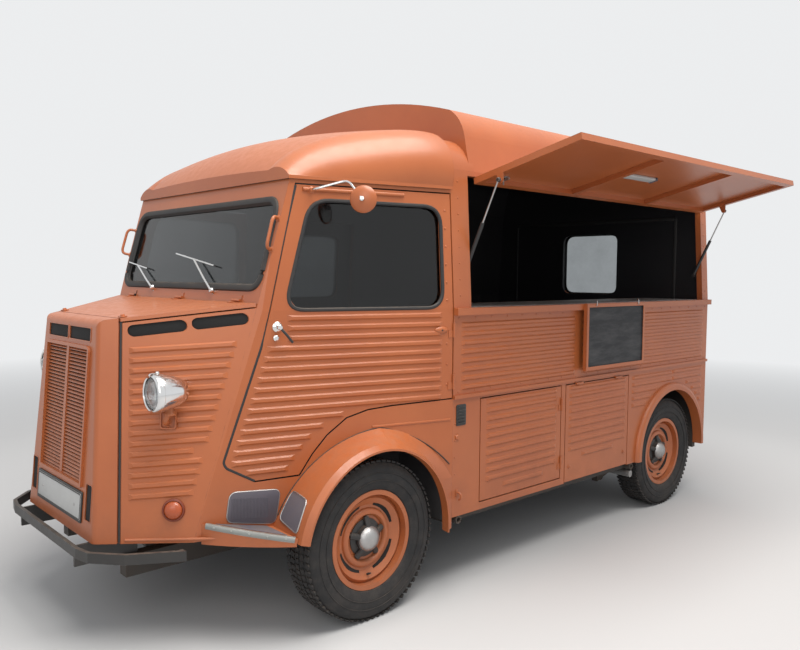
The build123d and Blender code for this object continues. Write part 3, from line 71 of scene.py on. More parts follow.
def at(x, y, z):
    """A place on the truck, in Blender's metres."""
    return Vector((x, y, z)) / 1000 + AXLE


HALF_WIDTH, WAIST_Z = 930, 1344
BODY_FRONT_X, REAR_X = -465, -3000
SIDE_TAPER, SIDE_LEAN = 0.26, 38 / 641
SCREEN_FOOT_X, SCREEN_FOOT_Z, SCREEN_RAKE = 416, 1435, 0.28
BONNET_FRONT_X, BONNET_FRONT_Z, BONNET_RAKE = 870, 1312, 0.146
SHELL_X, SHELL_Z, SHELL_RAKE = 938, 1272, 0.079
SIDE, FRONT, UP = Vector((0, 1, 0)), Vector((1, 0, 0)), Vector((0, 0, 1))
NOSE_NORMAL = Vector((0.6146, 0.7790, 0.1243)).normalized()
NOSE_POINT = Vector((BONNET_FRONT_X, 351, BONNET_FRONT_Z))
DOOR_NORMAL = Vector((SIDE_TAPER, 1, 0)).normalized()
SCREEN_NORMAL = Vector((1, 0, SCREEN_RAKE)).normalized()
BONNET_NORMAL = Vector((BONNET_RAKE, 0, 1)).normalized()
SHELL_NORMAL = Vector((1, 0, SHELL_RAKE)).normalized()


def wall_y(z):
    """Outer face of the load body's side."""
    return HALF_WIDTH - max(0, z - WAIST_Z) * SIDE_LEAN


def door_y(x, z=0):
    """Outer face of the cab's side."""
    return HALF_WIDTH - SIDE_TAPER * (x - BODY_FRONT_X) - max(0, z - WAIST_Z) * SIDE_LEAN


def nose_y(x, z):
    """Outer face of the nose's side."""
    n = NOSE_NORMAL
    return (n.dot(NOSE_POINT) - n.x * x - n.z * z) / n.y


def shell_x(z):
    """Face of the front shell that carries the grille."""
    return SHELL_X + (SHELL_Z - z) * SHELL_RAKE


def screen_x(z):
    """Front face of the windscreen's frame."""
    return SCREEN_FOOT_X - (z - SCREEN_FOOT_Z) * SCREEN_RAKE


def bonnet_z(x):
    """Top of the bonnet."""
    return BONNET_FRONT_Z + (BONNET_FRONT_X - x) * BONNET_RAKE


print("the front axle stands at", [round(v, 4) for v in AXLE])

# %% [markdown]
# A finish is more than a colour. Old enamel fades in patches, dust lies on what faces up, road
# dirt sticks low down, and sharp edges are rubbed. These effects serve every material, so they
# are one shader group: it puts out masks from 0 to 1, and each material gives them a colour.

# %% A shader group for age


class Graph:
    """A short way to add nodes to a tree and join them."""

    def __init__(self, tree):
        self.tree = tree

    def add(self, kind, inputs=None, **settings):
        node = self.tree.nodes.new(kind)
        for name, value in settings.items():
            setattr(node, name, value)
        for socket, value in (inputs or {}).items():
            self.feed(node.inputs[socket], value)
        return node

    def feed(self, socket, value):
        """Join a socket to another, or give it a constant."""
        if isinstance(value, bpy.types.NodeSocket):
            self.tree.links.new(value, socket)
        else:
            socket.default_value = value

    def math(self, operation, first, second=0.5, clamp=False):
        inputs = {0: first, 1: second}
        return self.add("ShaderNodeMath", inputs, operation=operation, use_clamp=clamp).outputs[0]

    def times(self, first, second, clamp=False):
        return self.math("MULTIPLY", first, second, clamp)

    def vector(self, operation, first, second):
        """A vector difference, or a product, which is a plain number."""
        node = self.add("ShaderNodeVectorMath", {0: first, 1: second}, operation=operation)
        return node.outputs["Value" if operation == "DOT_PRODUCT" else 0]

    def part(self, vector, axis):
        return self.add("ShaderNodeSeparateXYZ", {0: vector}).outputs[axis]

    def place(self):
        return self.add("ShaderNodeTexCoord").outputs["Object"]

    def ramp(self, value, low, high):
        """The value from low to high, spread from 0 to 1."""
        inputs = {"Value": value, "From Min": low, "From Max": high}
        return self.add("ShaderNodeMapRange", inputs).outputs["Result"]

    def noise(self, coordinates, scale, detail=4.0, roughness=0.55):
        inputs = {"Vector": coordinates, "Scale": scale, "Detail": detail, "Roughness": roughness}
        return self.add("ShaderNodeTexNoise", inputs).outputs["Fac"]

    def mix(self, factor, first, second):
        node = self.add("ShaderNodeMix", data_type="RGBA")
        for name, value in (("Factor", factor), ("A", first), ("B", second)):
            self.feed([s for s in node.inputs if s.name == name and s.enabled][0], value)
        return [s for s in node.outputs if s.enabled][0]


AGE_MASKS = ("Patches", "Dust", "Dirt", "Edges", "Grain")


def build_age_group():
    """Masks for faded patches, settled dust, road dirt and rubbed edges."""
    tree = bpy.data.node_groups.new("age_of_surface", "ShaderNodeTree")
    for name, value in (("Patch Size", 1.6), ("Edge Width", 0.004), ("Dirt Height", 0.75)):
        tree.interface.new_socket(name, in_out="INPUT", socket_type="NodeSocketFloat").default_value = value
    for name in AGE_MASKS:
        tree.interface.new_socket(name, in_out="OUTPUT", socket_type="NodeSocketFloat")
    g = Graph(tree)
    start, end = g.add("NodeGroupInput"), g.add("NodeGroupOutput")
    place = g.place()
    patches = g.noise(place, start.outputs["Patch Size"], 5.0, 0.6)
    fine = g.noise(place, 26.0, 6.0, 0.65)
    grain = g.noise(place, 160.0, 3.0, 0.6)
    normal = g.add("ShaderNodeNewGeometry").outputs["Normal"]
    dust = g.times(g.ramp(g.part(normal, "Z"), 0.15, 0.95), g.ramp(fine, 0.32, 0.68), True)
    low = g.math("SUBTRACT", 1.0, g.math("DIVIDE", g.part(place, "Z"), start.outputs["Dirt Height"]), True)
    dirt = g.times(low, g.ramp(g.noise(place, 7.0, 6.0, 0.7), 0.36, 0.7), True)
    soft = g.add("ShaderNodeBevel", {"Radius": start.outputs["Edge Width"]}, samples=4).outputs["Normal"]
    bare = g.ramp(g.math("SUBTRACT", 1.0, g.vector("DOT_PRODUCT", soft, normal)), 0.02, 0.2)
    edges = g.times(bare, g.ramp(fine, 0.46, 0.62), True)
    for name, value in zip(AGE_MASKS, (patches, dust, dirt, edges, grain)):
        g.feed(end.inputs[name], value)
    return tree


age_group = build_age_group()
print("shader group with", len(age_group.nodes), "nodes")

# %% [markdown]
# Hard finishes then come from one recipe with different values: the colour, a second colour
# for patches, how rough, how metallic, what the rubbed edges show, and how coarse the grain is.
# A table keeps them side by side, which makes it easy to compare orange paint with black paint.

# %% Hard finishes from one recipe
DUST_COLOUR = (0.23, 0.17, 0.12, 1)
DIRT_COLOUR = (0.075, 0.055, 0.042, 1)
# painted shade: the near-black that stands in for shade inside the load body and the cab, and deep in the
# grille
PAINTED_SHADE_COLOUR = (0.018, 0.017, 0.019, 1)


def new_finish(name, colour, alpha=1):
    """A material with nodes, the tools to build it and its shader's sockets."""
    finish = bpy.data.materials.new(name)
    finish.use_nodes = True
    finish.diffuse_color = (*colour, alpha)
    return finish, Graph(finish.node_tree), finish.node_tree.nodes["Principled BSDF"].inputs


def facing_in(centre, reach):
    """A mask of the faces that look to a centre and lie no further out than a reach."""
    def mask(g):
        place = g.place()
        normal = g.add("ShaderNodeNewGeometry").outputs["True Normal"]
        normal = g.add("ShaderNodeVectorTransform", {0: normal}, vector_type="NORMAL", convert_from="WORLD",
                       convert_to="OBJECT").outputs[0]
        away = g.vector("SUBTRACT", place, centre)
        look = g.vector("DOT_PRODUCT", away, normal)
        out = g.math("ABSOLUTE", g.part(away, "Y"))
        over_waist = g.math("MAXIMUM", g.math("SUBTRACT", g.part(place, "Z"), WAIST_Z / 1000), 0.0)
        inside = g.math("LESS_THAN", g.math("ADD", out, g.times(over_waist, SIDE_LEAN)), reach)
        return g.times(g.math("LESS_THAN", look, -0.05), inside)
    return mask


def sunk(point, normal, start, end):
    """A mask of what lies deep behind a plane, with a soft limit."""
    def mask(g):
        away = g.vector("SUBTRACT", point, g.place())
        return g.ramp(g.vector("DOT_PRODUCT", away, normal), start, end)
    return mask


def hard_finish(name, colour, patch, rough, metal, edge, dust, dirt, bump, coat=0.0, lining=None):
    """A paint, metal or hard plastic with patches, dust, dirt, rubbed edges and grain, and painted shade
    under a mask if one is given.
    """
    finish, g, shader = new_finish(name, colour)
    age = g.add("ShaderNodeGroup", node_tree=age_group).outputs
    base = g.mix(g.ramp(age["Patches"], 0.36, 0.66), (*colour, 1), (*patch, 1))
    base = g.mix(g.times(age["Dust"], dust), base, DUST_COLOUR)
    base = g.mix(g.times(age["Dirt"], dirt), base, DIRT_COLOUR)
    if edge:
        base = g.mix(age["Edges"], base, (*edge, 1))
    # painted shade: where the mask is on, the colour turns near-black
    if lining:
        base = g.mix(lining(g), base, PAINTED_SHADE_COLOUR)
    g.feed(shader["Base Color"], base)
    worn = g.math("ADD", g.times(age["Dust"], 0.25), g.times(age["Grain"], 0.12))
    worn = g.math("ADD", worn, g.times(age["Dirt"], 0.3))
    g.feed(shader["Roughness"], g.math("ADD", worn, rough - 0.06, True))
    for socket, value in (("Metallic", metal), ("Coat Weight", coat), ("Coat Roughness", 0.2)):
        shader[socket].default_value = value
    relief = g.add("ShaderNodeBump", {"Strength": bump, "Distance": 0.001, "Height": age["Grain"]})
    g.feed(shader["Normal"], relief.outputs["Normal"])
    return finish


# name: colour, patch colour, roughness, metallic, edge colour, dust, dirt, bump, coat
hard_table = {
    "orange_enamel": (
        (0.445, 0.124, 0.037), (0.39, 0.102, 0.031), 0.36, 0, (0.23, 0.062, 0.022), 0.22, 0.45, 0.12, 0.15),
    "black_enamel": (
        (0.02, 0.02, 0.021), (0.03, 0.029, 0.028), 0.42, 0, (0.09, 0.083, 0.078), 0.4, 0.5, 0.15),
    "chassis_black": (
        (0.03, 0.028, 0.026), (0.055, 0.045, 0.038), 0.68, 0, (0.09, 0.05, 0.03), 0.5, 0.8, 0.5),
    "dark_lining": ((0.045, 0.042, 0.045), (0.06, 0.056, 0.055), 0.6, 0, None, 0.2, 0.1, 0.3),
    "bright_chrome": ((0.78, 0.78, 0.78), (0.7, 0.69, 0.67), 0.12, 1, None, 0.25, 0.1, 0.03),
    "bare_steel": ((0.5, 0.5, 0.5), (0.36, 0.35, 0.34), 0.38, 1, (0.7, 0.7, 0.7), 0.3, 0.5, 0.3),
    "cast_metal": ((0.2, 0.2, 0.2), (0.12, 0.1, 0.09), 0.7, 1, (0.4, 0.4, 0.4), 0.5, 0.6, 0.9),
    "step_sheet": ((0.36, 0.37, 0.36), (0.26, 0.27, 0.25), 0.5, 0.6, (0.55, 0.55, 0.53), 0.4, 0.4, 0.5),
    "grey_plastic": ((0.12, 0.11, 0.135), (0.09, 0.082, 0.1), 0.55, 0, None, 0.4, 0.3, 0.4),
    "black_rubber": ((0.018, 0.018, 0.019), (0.03, 0.028, 0.027), 0.62, 0, None, 0.4, 0.3, 0.35),
    # black parts, and painted shade: the sheets behind the vents and the crescents on the wheels
    "void_black": ((0.006, 0.006, 0.006), (0.01, 0.009, 0.009), 0.85, 0, None, 0.1, 0.1, 0.3),
    "amber_plastic": ((0.45, 0.085, 0.014), (0.38, 0.06, 0.012), 0.28, 0, None, 0.2, 0.2, 0.2, 0.4),
    "dull_amber": ((0.2, 0.035, 0.014), (0.16, 0.028, 0.012), 0.4, 0, None, 0.2, 0.2, 0.2, 0.1),
    "red_plastic": ((0.3, 0.012, 0.01), (0.24, 0.01, 0.008), 0.28, 0, None, 0.2, 0.2, 0.2, 0.4),
    "white_enamel": ((0.5, 0.5, 0.49), (0.44, 0.44, 0.43), 0.4, 0, None, 0.15, 0.3, 0.1),
}
finishes = {name: hard_finish(name, *row) for name, row in hard_table.items()}
room_middle = at(-1730, 0, 1200)
# painted shade: faces that look into the load body, its roof, the sliding door and the cab go near-black
painted_shade_masks = {
    "shade_inside_body": facing_in(room_middle, 0.893),
    "shade_inside_slider": facing_in(room_middle, 0.95),
    "shade_inside_roof": facing_in(room_middle, 2.0),
    "shade_inside_cab": facing_in(at(-60, 0, 1500), 0.93),
    # painted shade: grille faces more than 5 to 8.5 mm behind the shell's face go near-black, as shade
    # between the slats
    "shade_deep_grille": sunk(at(SHELL_X, 0, SHELL_Z), SHELL_NORMAL, 0.005, 0.0085),
}
for name, lining in painted_shade_masks.items():
    finishes[name] = hard_finish(name, *hard_table["orange_enamel"], lining=lining)
print(len(finishes), "hard finishes")

# %% [markdown]
# Glass on a parked truck is seen as a dark, slightly grey sheet with soft reflections. It needs
# real transmission, so its shader stays plain: a tinted base, full transmission, a thin veil of
# dust in the roughness. Lamp glass is the same with its own colour and flutes in the bump.

# %% Glass for windows and lamps


def glass_finish(name, tint, rough, flutes=0.0):
    """Clear or tinted glass, with dust in its roughness and, on a lens, upright flutes."""
    finish, g, shader = new_finish(name, tint, 0.5)
    shader["Transmission Weight"].default_value = 1.0
    shader["IOR"].default_value = 1.45
    place = g.place()
    film = g.ramp(g.noise(place, 5.0, 6.0, 0.7), 0.4, 0.75)
    g.feed(shader["Base Color"], g.mix(film, (*tint, 1), (*[0.85 * c for c in tint], 1)))
    g.feed(shader["Roughness"], g.math("ADD", g.times(film, 0.08), rough))
    if flutes:
        wave = g.add("ShaderNodeTexWave", {"Vector": place, "Scale": flutes}, bands_direction="Y")
        relief = g.add("ShaderNodeBump", {"Strength": 0.6, "Distance": 0.002, "Height": wave.outputs["Fac"]})
        g.feed(shader["Normal"], relief.outputs["Normal"])
    return finish


glass_table = {
    "window_glass": ((0.33, 0.35, 0.36), 0.02),
    "smoked_glass": ((0.16, 0.17, 0.175), 0.02),
    "lamp_glass": ((0.92, 0.94, 0.95), 0.03, 42.0),
}
for name, row in glass_table.items():
    finishes[name] = glass_finish(name, *row)
print("glass finishes are ready")

# %% [markdown]
# Three surfaces have a structure of their own: the tyre's rubber with road dust, grained
# leather-cloth on the seats with small wrinkles, and the chalkboard whose black face keeps the
# pale smears of a damp cloth. Each mixes its own pattern with the age group.

# %% Rubber, seat cover and chalkboard


def patterned_finish(name, dark, light, rough, spread, pattern, strength):
    """A finish whose colour and bump follow a pattern given by a function of the graph."""
    finish, g, shader = new_finish(name, dark)
    place = g.place()
    age = g.add("ShaderNodeGroup", node_tree=age_group).outputs
    height, shade = pattern(g, place, age)
    base = g.mix(g.times(shade, spread), (*dark, 1), (*light, 1))
    g.feed(shader["Base Color"], g.mix(g.times(age["Dust"], 0.2), base, DUST_COLOUR))
    g.feed(shader["Roughness"], g.math("ADD", g.times(age["Grain"], 0.15), rough - 0.07))
    bump = g.add("ShaderNodeBump", {"Strength": strength, "Distance": 0.002, "Height": height})
    g.feed(shader["Normal"], bump.outputs["Normal"])
    return finish


def tyre_pattern(g, place, age):
    """Road dust in the shoulder, and fine grain."""
    return age["Grain"], g.math("ADD", age["Dirt"], g.ramp(g.noise(place, 14.0, 6.0, 0.7), 0.45, 0.75), True)


def leather_pattern(g, place, age):
    """Small cells with creases between them."""
    cells = g.add("ShaderNodeTexVoronoi", {"Vector": place, "Scale": 420.0}, feature="DISTANCE_TO_EDGE")
    folds = g.noise(place, 18.0, 4.0, 0.6)
    return g.math("ADD", g.ramp(cells.outputs["Distance"], 0.0, 0.12), folds), g.ramp(folds, 0.45, 0.7)


def chalk_pattern(g, place, age):
    """Wide smears left by a cloth, and the sheet's own fine grain."""
    turned = g.add("ShaderNodeMapping", {"Vector": place, "Rotation": (0, 0.5, 0), "Scale": (3, 3, 14)})
    return age["Grain"], g.ramp(g.noise(turned.outputs["Vector"], 1.7, 5.0, 0.7), 0.42, 0.78)


# name: dark colour, light colour, roughness, how far the pattern shows, pattern, bump
pattern_table = {
    "tyre_rubber": ((0.011, 0.011, 0.012), (0.05, 0.042, 0.037), 0.78, 0.5, tyre_pattern, 0.5),
    "seat_leather": ((0.022, 0.018, 0.017), (0.05, 0.042, 0.038), 0.45, 0.8, leather_pattern, 0.5),
    "chalkboard": ((0.02, 0.021, 0.024), (0.2, 0.2, 0.2), 0.7, 0.28, chalk_pattern, 0.3),
}
for name, row in pattern_table.items():
    finishes[name] = patterned_finish(name, *row)
print("patterned finishes are ready")

# %% [markdown]
# Now the imported shell gets its finishes, one for each CAD node. Nodes that are not in the table
# keep the orange enamel, because most of this truck, even its wheels, was sprayed in one colour.
# The load body and the cab get painted shade inside: a mask finds the faces that look into the room, and they
# go near-black.

# %% Paint the CAD nodes
paint_plan = {
    "chassis_black": ["floor", "jack_sockets", "rear_axle", "wishbones", "knuckle_left", "knuckle_right"],
    "black_enamel": ["front_bumper", "rear_bumper", "steering_wheel", "dashboard", "strut_tube_rear",
                     "strut_tube_front"],
    "dark_lining": ["cab_floor", "footwells", "engine_cover"],
    "shade_inside_body": ["side_left", "window_frame", "side_right", "rear_frame", "tailgate", "rear_door_left",
                   "rear_door_right"],
    "shade_inside_roof": ["body_roof"],
    "shade_inside_slider": ["sliding_door"],
    "shade_inside_cab": ["cab_frame", "cab_roof"],
    "shade_deep_grille": ["grille"],
    "smoked_glass": ["windscreen", "door_left_pane", "door_right_pane", "sliding_door_pane"],
    "window_glass": ["tailgate_pane"],
    "bright_chrome": ["headlamps"],
    "cast_metal": ["engine"],
    "bare_steel": ["exhaust", "strut_rod_rear", "strut_rod_front"],
    "chalkboard": ["menu_board"],
    "seat_leather": ["seats"],
    "tyre_rubber": [name for name in nodes if name.startswith("tyre_")],
}
finish_of = {node: finish for finish, group in paint_plan.items() for node in group}
for name, node in nodes.items():
    node.data.materials.clear()
    node.data.materials.append(finishes[finish_of.get(name, "orange_enamel")])
print("painted", len(nodes), "nodes,", len(nodes) - len(finish_of), "of them orange")

# %% [markdown]
# The camera stands where the photographer stood. Its place and direction come from matching
# wheels, roof edges and the counter line with the frame: about 1.5 m high, to the left of the
# nose, looking back along the serving side with a normal lens and almost no tilt.

# %% The camera
FOCAL_PIXELS, PHOTO_WIDTH, SENSOR = 762.1, 800, 36
camera_data = bpy.data.cameras.new("photo_camera")
camera_data.lens = SENSOR * FOCAL_PIXELS / PHOTO_WIDTH
camera_data.sensor_width = SENSOR
scene = bpy.context.scene
camera = bpy.data.objects.new("photo_camera", camera_data)
scene.collection.objects.link(camera)
yaw, pitch, roll = (math.radians(v) for v in (-132.67, -3.76, 0.44))
forward = Vector((math.cos(pitch) * math.cos(yaw), math.cos(pitch) * math.sin(yaw), math.sin(pitch)))
right = forward.cross(UP).normalized()
up = right.cross(forward)
tilted_right = right * math.cos(roll) + up * math.sin(roll)
tilted_up = up * math.cos(roll) - right * math.sin(roll)
turn = Matrix((tilted_right, tilted_up, -forward)).transposed()
camera.matrix_world = Matrix.Translation(at(2104, 3349, 1494)) @ turn.to_4x4()
scene.camera = camera
print("camera at", [round(v, 3) for v in camera.location])

# %% [markdown]
# A plain studio: a pale floor that keeps the shadow, one big soft lamp overhead and a weaker one
# from the camera's side. What the camera sees as background is set apart from what lights the
# truck, so the background can be pale while paint looks as it is written.

# %% Floor, background and light
HAZE = (0.84, 0.85, 0.86, 1)
scene.view_settings.view_transform = "Standard"
world = bpy.data.worlds.new("studio")
scene.world = world
world.use_nodes = True
world.node_tree.nodes.clear()
g = Graph(world.node_tree)
path = g.add("ShaderNodeLightPath").outputs
seen = g.math("MAXIMUM", path["Is Camera Ray"], path["Is Transmission Ray"])
seen = g.math("MAXIMUM", seen, path["Is Glossy Ray"])
light = g.add("ShaderNodeBackground", {"Color": (0.93, 0.96, 1.0, 1), "Strength": 0.5})
backdrop = g.add("ShaderNodeBackground", {"Color": HAZE, "Strength": 1.0})
both = g.add("ShaderNodeMixShader", {0: seen, 1: light.outputs[0], 2: backdrop.outputs[0]})
g.add("ShaderNodeOutputWorld", {0: both.outputs[0]})

FLOOR_HALF = 30
floor_mesh = bpy.data.meshes.new("studio_floor")
corners = [Vector((x, y, 0)) * FLOOR_HALF for x, y in ((-1, -1), (1, -1), (1, 1), (-1, 1))]
floor_mesh.from_pydata(corners, [], [(0, 1, 2, 3)])
floor = bpy.data.objects.new("studio_floor", floor_mesh)
scene.collection.objects.link(floor)
floor_finish, g, shader = new_finish("studio_floor", (0.8, 0.8, 0.8))
shader["Base Color"].default_value = (0.55, 0.55, 0.55, 1)
shader["Roughness"].default_value = 0.9
away = g.add("ShaderNodeVectorMath", {0: g.place()}, operation="LENGTH").outputs["Value"]
haze = g.add("ShaderNodeEmission", {"Color": HAZE, "Strength": 1.0})
lit_floor = floor_finish.node_tree.nodes["Principled BSDF"].outputs[0]
blend = g.add("ShaderNodeMixShader", {0: g.ramp(away, 4.5, 11.0), 1: lit_floor, 2: haze.outputs[0]})
g.feed(floor_finish.node_tree.nodes["Material Output"].inputs[0], blend.outputs[0])
floor_mesh.materials.append(floor_finish)


def soft_lamp(name, offset, power, colour, size=5.0):
    """A square area lamp that faces the truck's middle."""
    lamp_data = bpy.data.lights.new(name, "AREA")
    lamp_data.shape, lamp_data.size = "SQUARE", size
    lamp_data.energy, lamp_data.color = power, colour
    lamp = bpy.data.objects.new(name, lamp_data)
    scene.collection.objects.link(lamp)
    way = (-offset).to_track_quat("-Z", "Y").to_matrix().to_4x4()
    lamp.matrix_world = Matrix.Translation(at(-1000, 0, 1200) + offset) @ way


soft_lamp("overhead", Vector((0.5, 2.5, 6.5)), 760, (1, 0.97, 0.93))
soft_lamp("camera_side", Vector((7.0, 5.0, 3.5)), 150, (1, 0.98, 0.96))
print("studio set up")

# %% [markdown]
# Some helpers make the meshes of this lesson. A lathe turns an outline about an axis, as a
# spun lamp bowl is made. A tube follows a path, as a bent wire or a rubber seal does. A slab
# is a flat outline with thickness and softened edges, as a cut and filed plate. Each returns
# a plain mesh, and `placed` gives it a finish and a body to ride on.


def written(builder, name="part"):
    """The bmesh as a mesh."""
    mesh = bpy.data.meshes.new(name)
    builder.to_mesh(mesh)
    builder.free()
    return mesh


def mesh_from(builder):
    """A mesh from a bmesh, with its doubles merged and its faces outwards."""
    bmesh.ops.remove_doubles(builder, verts=builder.verts, dist=0.00001)
    bmesh.ops.recalc_face_normals(builder, faces=builder.faces)
    return written(builder)


def joined(meshes):
    """Several meshes as one; a single mesh stays as it is."""
    if isinstance(meshes, bpy.types.Mesh):
        return meshes
    builder = bmesh.new()
    for mesh in meshes:
        builder.from_mesh(mesh)
    return written(builder)


def flipped(mesh):
    """The mesh on the other side of the truck, with its faces still outwards."""
    builder = bmesh.new()
    builder.from_mesh(mesh)
    for vertex in builder.verts:
        vertex.co.y = 2 * AXLE.y - vertex.co.y
    bmesh.ops.reverse_faces(builder, faces=builder.faces)
    return written(builder, mesh.name)


def placed(name, shape, finish, body="chassis", crease=35):
    """An object for finished meshes, smooth but for its sharp edges."""
    mesh = joined(shape)
    mesh.name = name
    mesh.materials.clear()
    mesh.materials.append(finishes[finish])
    mesh.polygons.foreach_set("use_smooth", [True] * len(mesh.polygons))
    mesh.polygons.foreach_set("material_index", [0] * len(mesh.polygons))
    mesh.set_sharp_from_angle(angle=math.radians(crease))
    piece = bpy.data.objects.new(name, mesh)
    scene.collection.objects.link(piece)
    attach(piece, body)
    return piece


def both_sides(name, shape, finish, bodies=None):
    """The piece and its mirror image: one object on the chassis, or one for each of two bodies."""
    mesh = joined(shape)
    other = flipped(mesh)
    if not bodies:
        return [placed(name, [mesh, other], finish)]
    halves = (("_left", mesh, bodies[0]), ("_right", other, bodies[1]))
    return [placed(name + side, half, finish, body) for side, half, body in halves]


def rounded(corners, radius, closed=True, steps=6):
    """A path whose corners are soft curves that start a radius before each corner."""
    path = []
    count = len(corners)
    for i, corner in enumerate(corners):
        if not closed and i in (0, count - 1):
            path.append(corner)
            continue
        before, after = corners[i - 1] - corner, corners[(i + 1) % count] - corner
        start, end = (corner + way.normalized() * min(radius, way.length / 2) for way in (before, after))
        for k in range(steps + 1):
            t = k / steps
            path.append(start * (1 - t) ** 2 + corner * 2 * t * (1 - t) + end * t**2)
    return path


def circle_of(builder, centre, side, other, sides):
    """Vertices on an ellipse with two half axes."""
    turns = (2 * math.pi * k / sides for k in range(sides))
    return [builder.verts.new(centre + side * math.cos(turn) + other * math.sin(turn)) for turn in turns]


def bridged(builder, first, second):
    """A band of faces between two rings; a ring may be a single point."""
    count = max(len(first), len(second))
    for k in range(count):
        n = (k + 1) % count
        corners = [ring[i % len(ring)] for ring, i in ((first, k), (first, n), (second, n), (second, k))]
        unique = list(dict.fromkeys(corners))
        if len(unique) > 2:
            builder.faces.new(unique)


def tube(path, radius, closed=False, sides=10, flat=1.0, flat_way=None):
    """A round or flattened bar along a path."""
    builder = bmesh.new()
    count = len(path)
    rings = []
    side = None
    for i, point in enumerate(path):
        before = path[i - 1] if closed or i else point
        after = path[(i + 1) % count] if closed or i < count - 1 else point
        along = (after - before).normalized()
        if side is None:
            side = along.orthogonal()
        guide = side if flat_way is None else flat_way
        side = (guide - along * guide.dot(along)).normalized()
        rings.append(circle_of(builder, point, side * (radius * flat), along.cross(side) * radius, sides))
    for i in range(count if closed else count - 1):
        bridged(builder, rings[i], rings[(i + 1) % count])
    if not closed:
        builder.faces.new(rings[0])
        builder.faces.new(rings[-1])
    return mesh_from(builder)


def wire(path, radius, sides=10, bend=None, steps=6, flat=1.0, flat_way=None):
    """A bar from end to end of an open path, with its corners bent soft."""
    if bend:
        path = rounded(path, bend, False, steps)
    return tube(path, radius, False, sides, flat, flat_way)


def lathe(profile, centre, axis, sides=32):
    """An outline of radius and height in millimetres, turned about an axis."""
    axis = axis.normalized()
    side = axis.orthogonal().normalized()
    builder = bmesh.new()
    rings = []
    for radius, height in profile:
        reach = radius / 1000 if radius > 0.01 else 0
        spot = centre + axis * (height / 1000)
        rings.append(circle_of(builder, spot, side * reach, axis.cross(side) * reach, sides if reach else 1))
    for first, second in zip(rings, rings[1:]):
        bridged(builder, first, second)
    return mesh_from(builder)


def slab(outline, normal, thickness, soft=1.0):
    """A flat plate from its outline, with its edges softened; sizes in millimetres."""
    builder = bmesh.new()
    face = builder.faces.new([builder.verts.new(point) for point in outline])
    grown = bmesh.ops.extrude_face_region(builder, geom=[face])
    moved = [v for v in grown["geom"] if isinstance(v, bmesh.types.BMVert)]
    bmesh.ops.translate(builder, verts=moved, vec=normal.normalized() * (thickness / 1000))
    bmesh.ops.recalc_face_normals(builder, faces=builder.faces)
    edges = [e for e in builder.edges if e.calc_face_angle(0) > 0.6]
    bmesh.ops.bevel(builder, geom=edges, offset=soft / 1000, segments=2, affect="EDGES", profile=0.5)
    return mesh_from(builder)


def ring_plate(outer, inner, normal, thickness):
    """A flat frame between two outlines with the same number of points."""
    builder = bmesh.new()
    lift = normal.normalized() * (thickness / 1000)
    low_out, low_in, top_out, top_in = (
        [builder.verts.new(p + d) for p in points] for d in (Vector(), lift) for points in (outer, inner))
    for first, second in ((top_out, top_in), (low_in, low_out), (low_out, top_out), (top_in, low_in)):
        bridged(builder, first, second)
    return mesh_from(builder)


print("mesh helpers are ready")

# %% [markdown]
# Rivets, screws, the ribs of rubber mats and the blocks of a tyre's tread all repeat, so
# Geometry Nodes make them. A tree is built once with named inputs, a modifier runs it with the
# values of one place, and the result is copied out as a plain mesh. Sizes are in metres here.

# %% Helpers for Geometry Nodes
FLOAT, VECTOR, WHOLE = "NodeSocketFloat", "NodeSocketVector", "NodeSocketInt"


class Pattern(Graph):
    """A Geometry Nodes tree with named inputs, and a way to grow a mesh from it."""

    def __init__(self, name, inputs):
        super().__init__(bpy.data.node_groups.new(name, "GeometryNodeTree"))
        self.tree.interface.new_socket("Geometry", in_out="OUTPUT", socket_type="NodeSocketGeometry")
        self.sockets = {}
        for label, kind, value in [("Finish", "NodeSocketMaterial", None)] + inputs:
            socket = self.tree.interface.new_socket(label, in_out="INPUT", socket_type=kind)
            if value is not None:
                socket.default_value = value
            self.sockets[label] = socket.identifier
        self.given = self.add("NodeGroupInput").outputs
        self.end = self.add("NodeGroupOutput")

    def out(self, kind, inputs=None, **settings):
        """A node's first output."""
        return self.add(kind, inputs, **settings).outputs[0]

    def close(self, instances):
        """Realize the copies, give them their material and end the tree."""
        real = self.out("GeometryNodeRealizeInstances", {0: instances})
        painted = self.out("GeometryNodeSetMaterial", {"Geometry": real, "Material": self.given["Finish"]})
        self.feed(self.end.inputs[0], painted)

    def line_of(self, shape):
        """End the tree with copies of a shape on a line from Start to End."""
        given = self.given
        places = {"Count": given["Count"], "Start Location": given["Start"], "Offset": given["End"]}
        line = self.out("GeometryNodeMeshLine", places, mode="END_POINTS")
        turned = self.out("FunctionNodeEulerToRotation", {0: given["Facing"]})
        copies = {"Points": line, "Instance": shape, "Rotation": turned}
        self.close(self.out("GeometryNodeInstanceOnPoints", copies))

    def grow(self, finish, **values):
        """Run the tree once and copy the result out as a plain mesh."""
        holder = bpy.data.objects.new("holder", bpy.data.meshes.new("holder"))
        scene.collection.objects.link(holder)
        modifier = holder.modifiers.new("pattern", "NODES")
        modifier.node_group = self.tree
        modifier[self.sockets["Finish"]] = finishes[finish]
        for label, value in values.items():
            several = isinstance(value, (tuple, Vector, Euler))
            modifier[self.sockets[label.replace("_", " ")]] = [float(v) for v in value] if several else value
        mesh = evaluated(holder)
        bpy.data.objects.remove(holder)
        return mesh


def evaluated(thing):
    """A plain mesh of an object as its modifiers leave it."""
    return bpy.data.meshes.new_from_object(thing.evaluated_get(bpy.context.evaluated_depsgraph_get()))


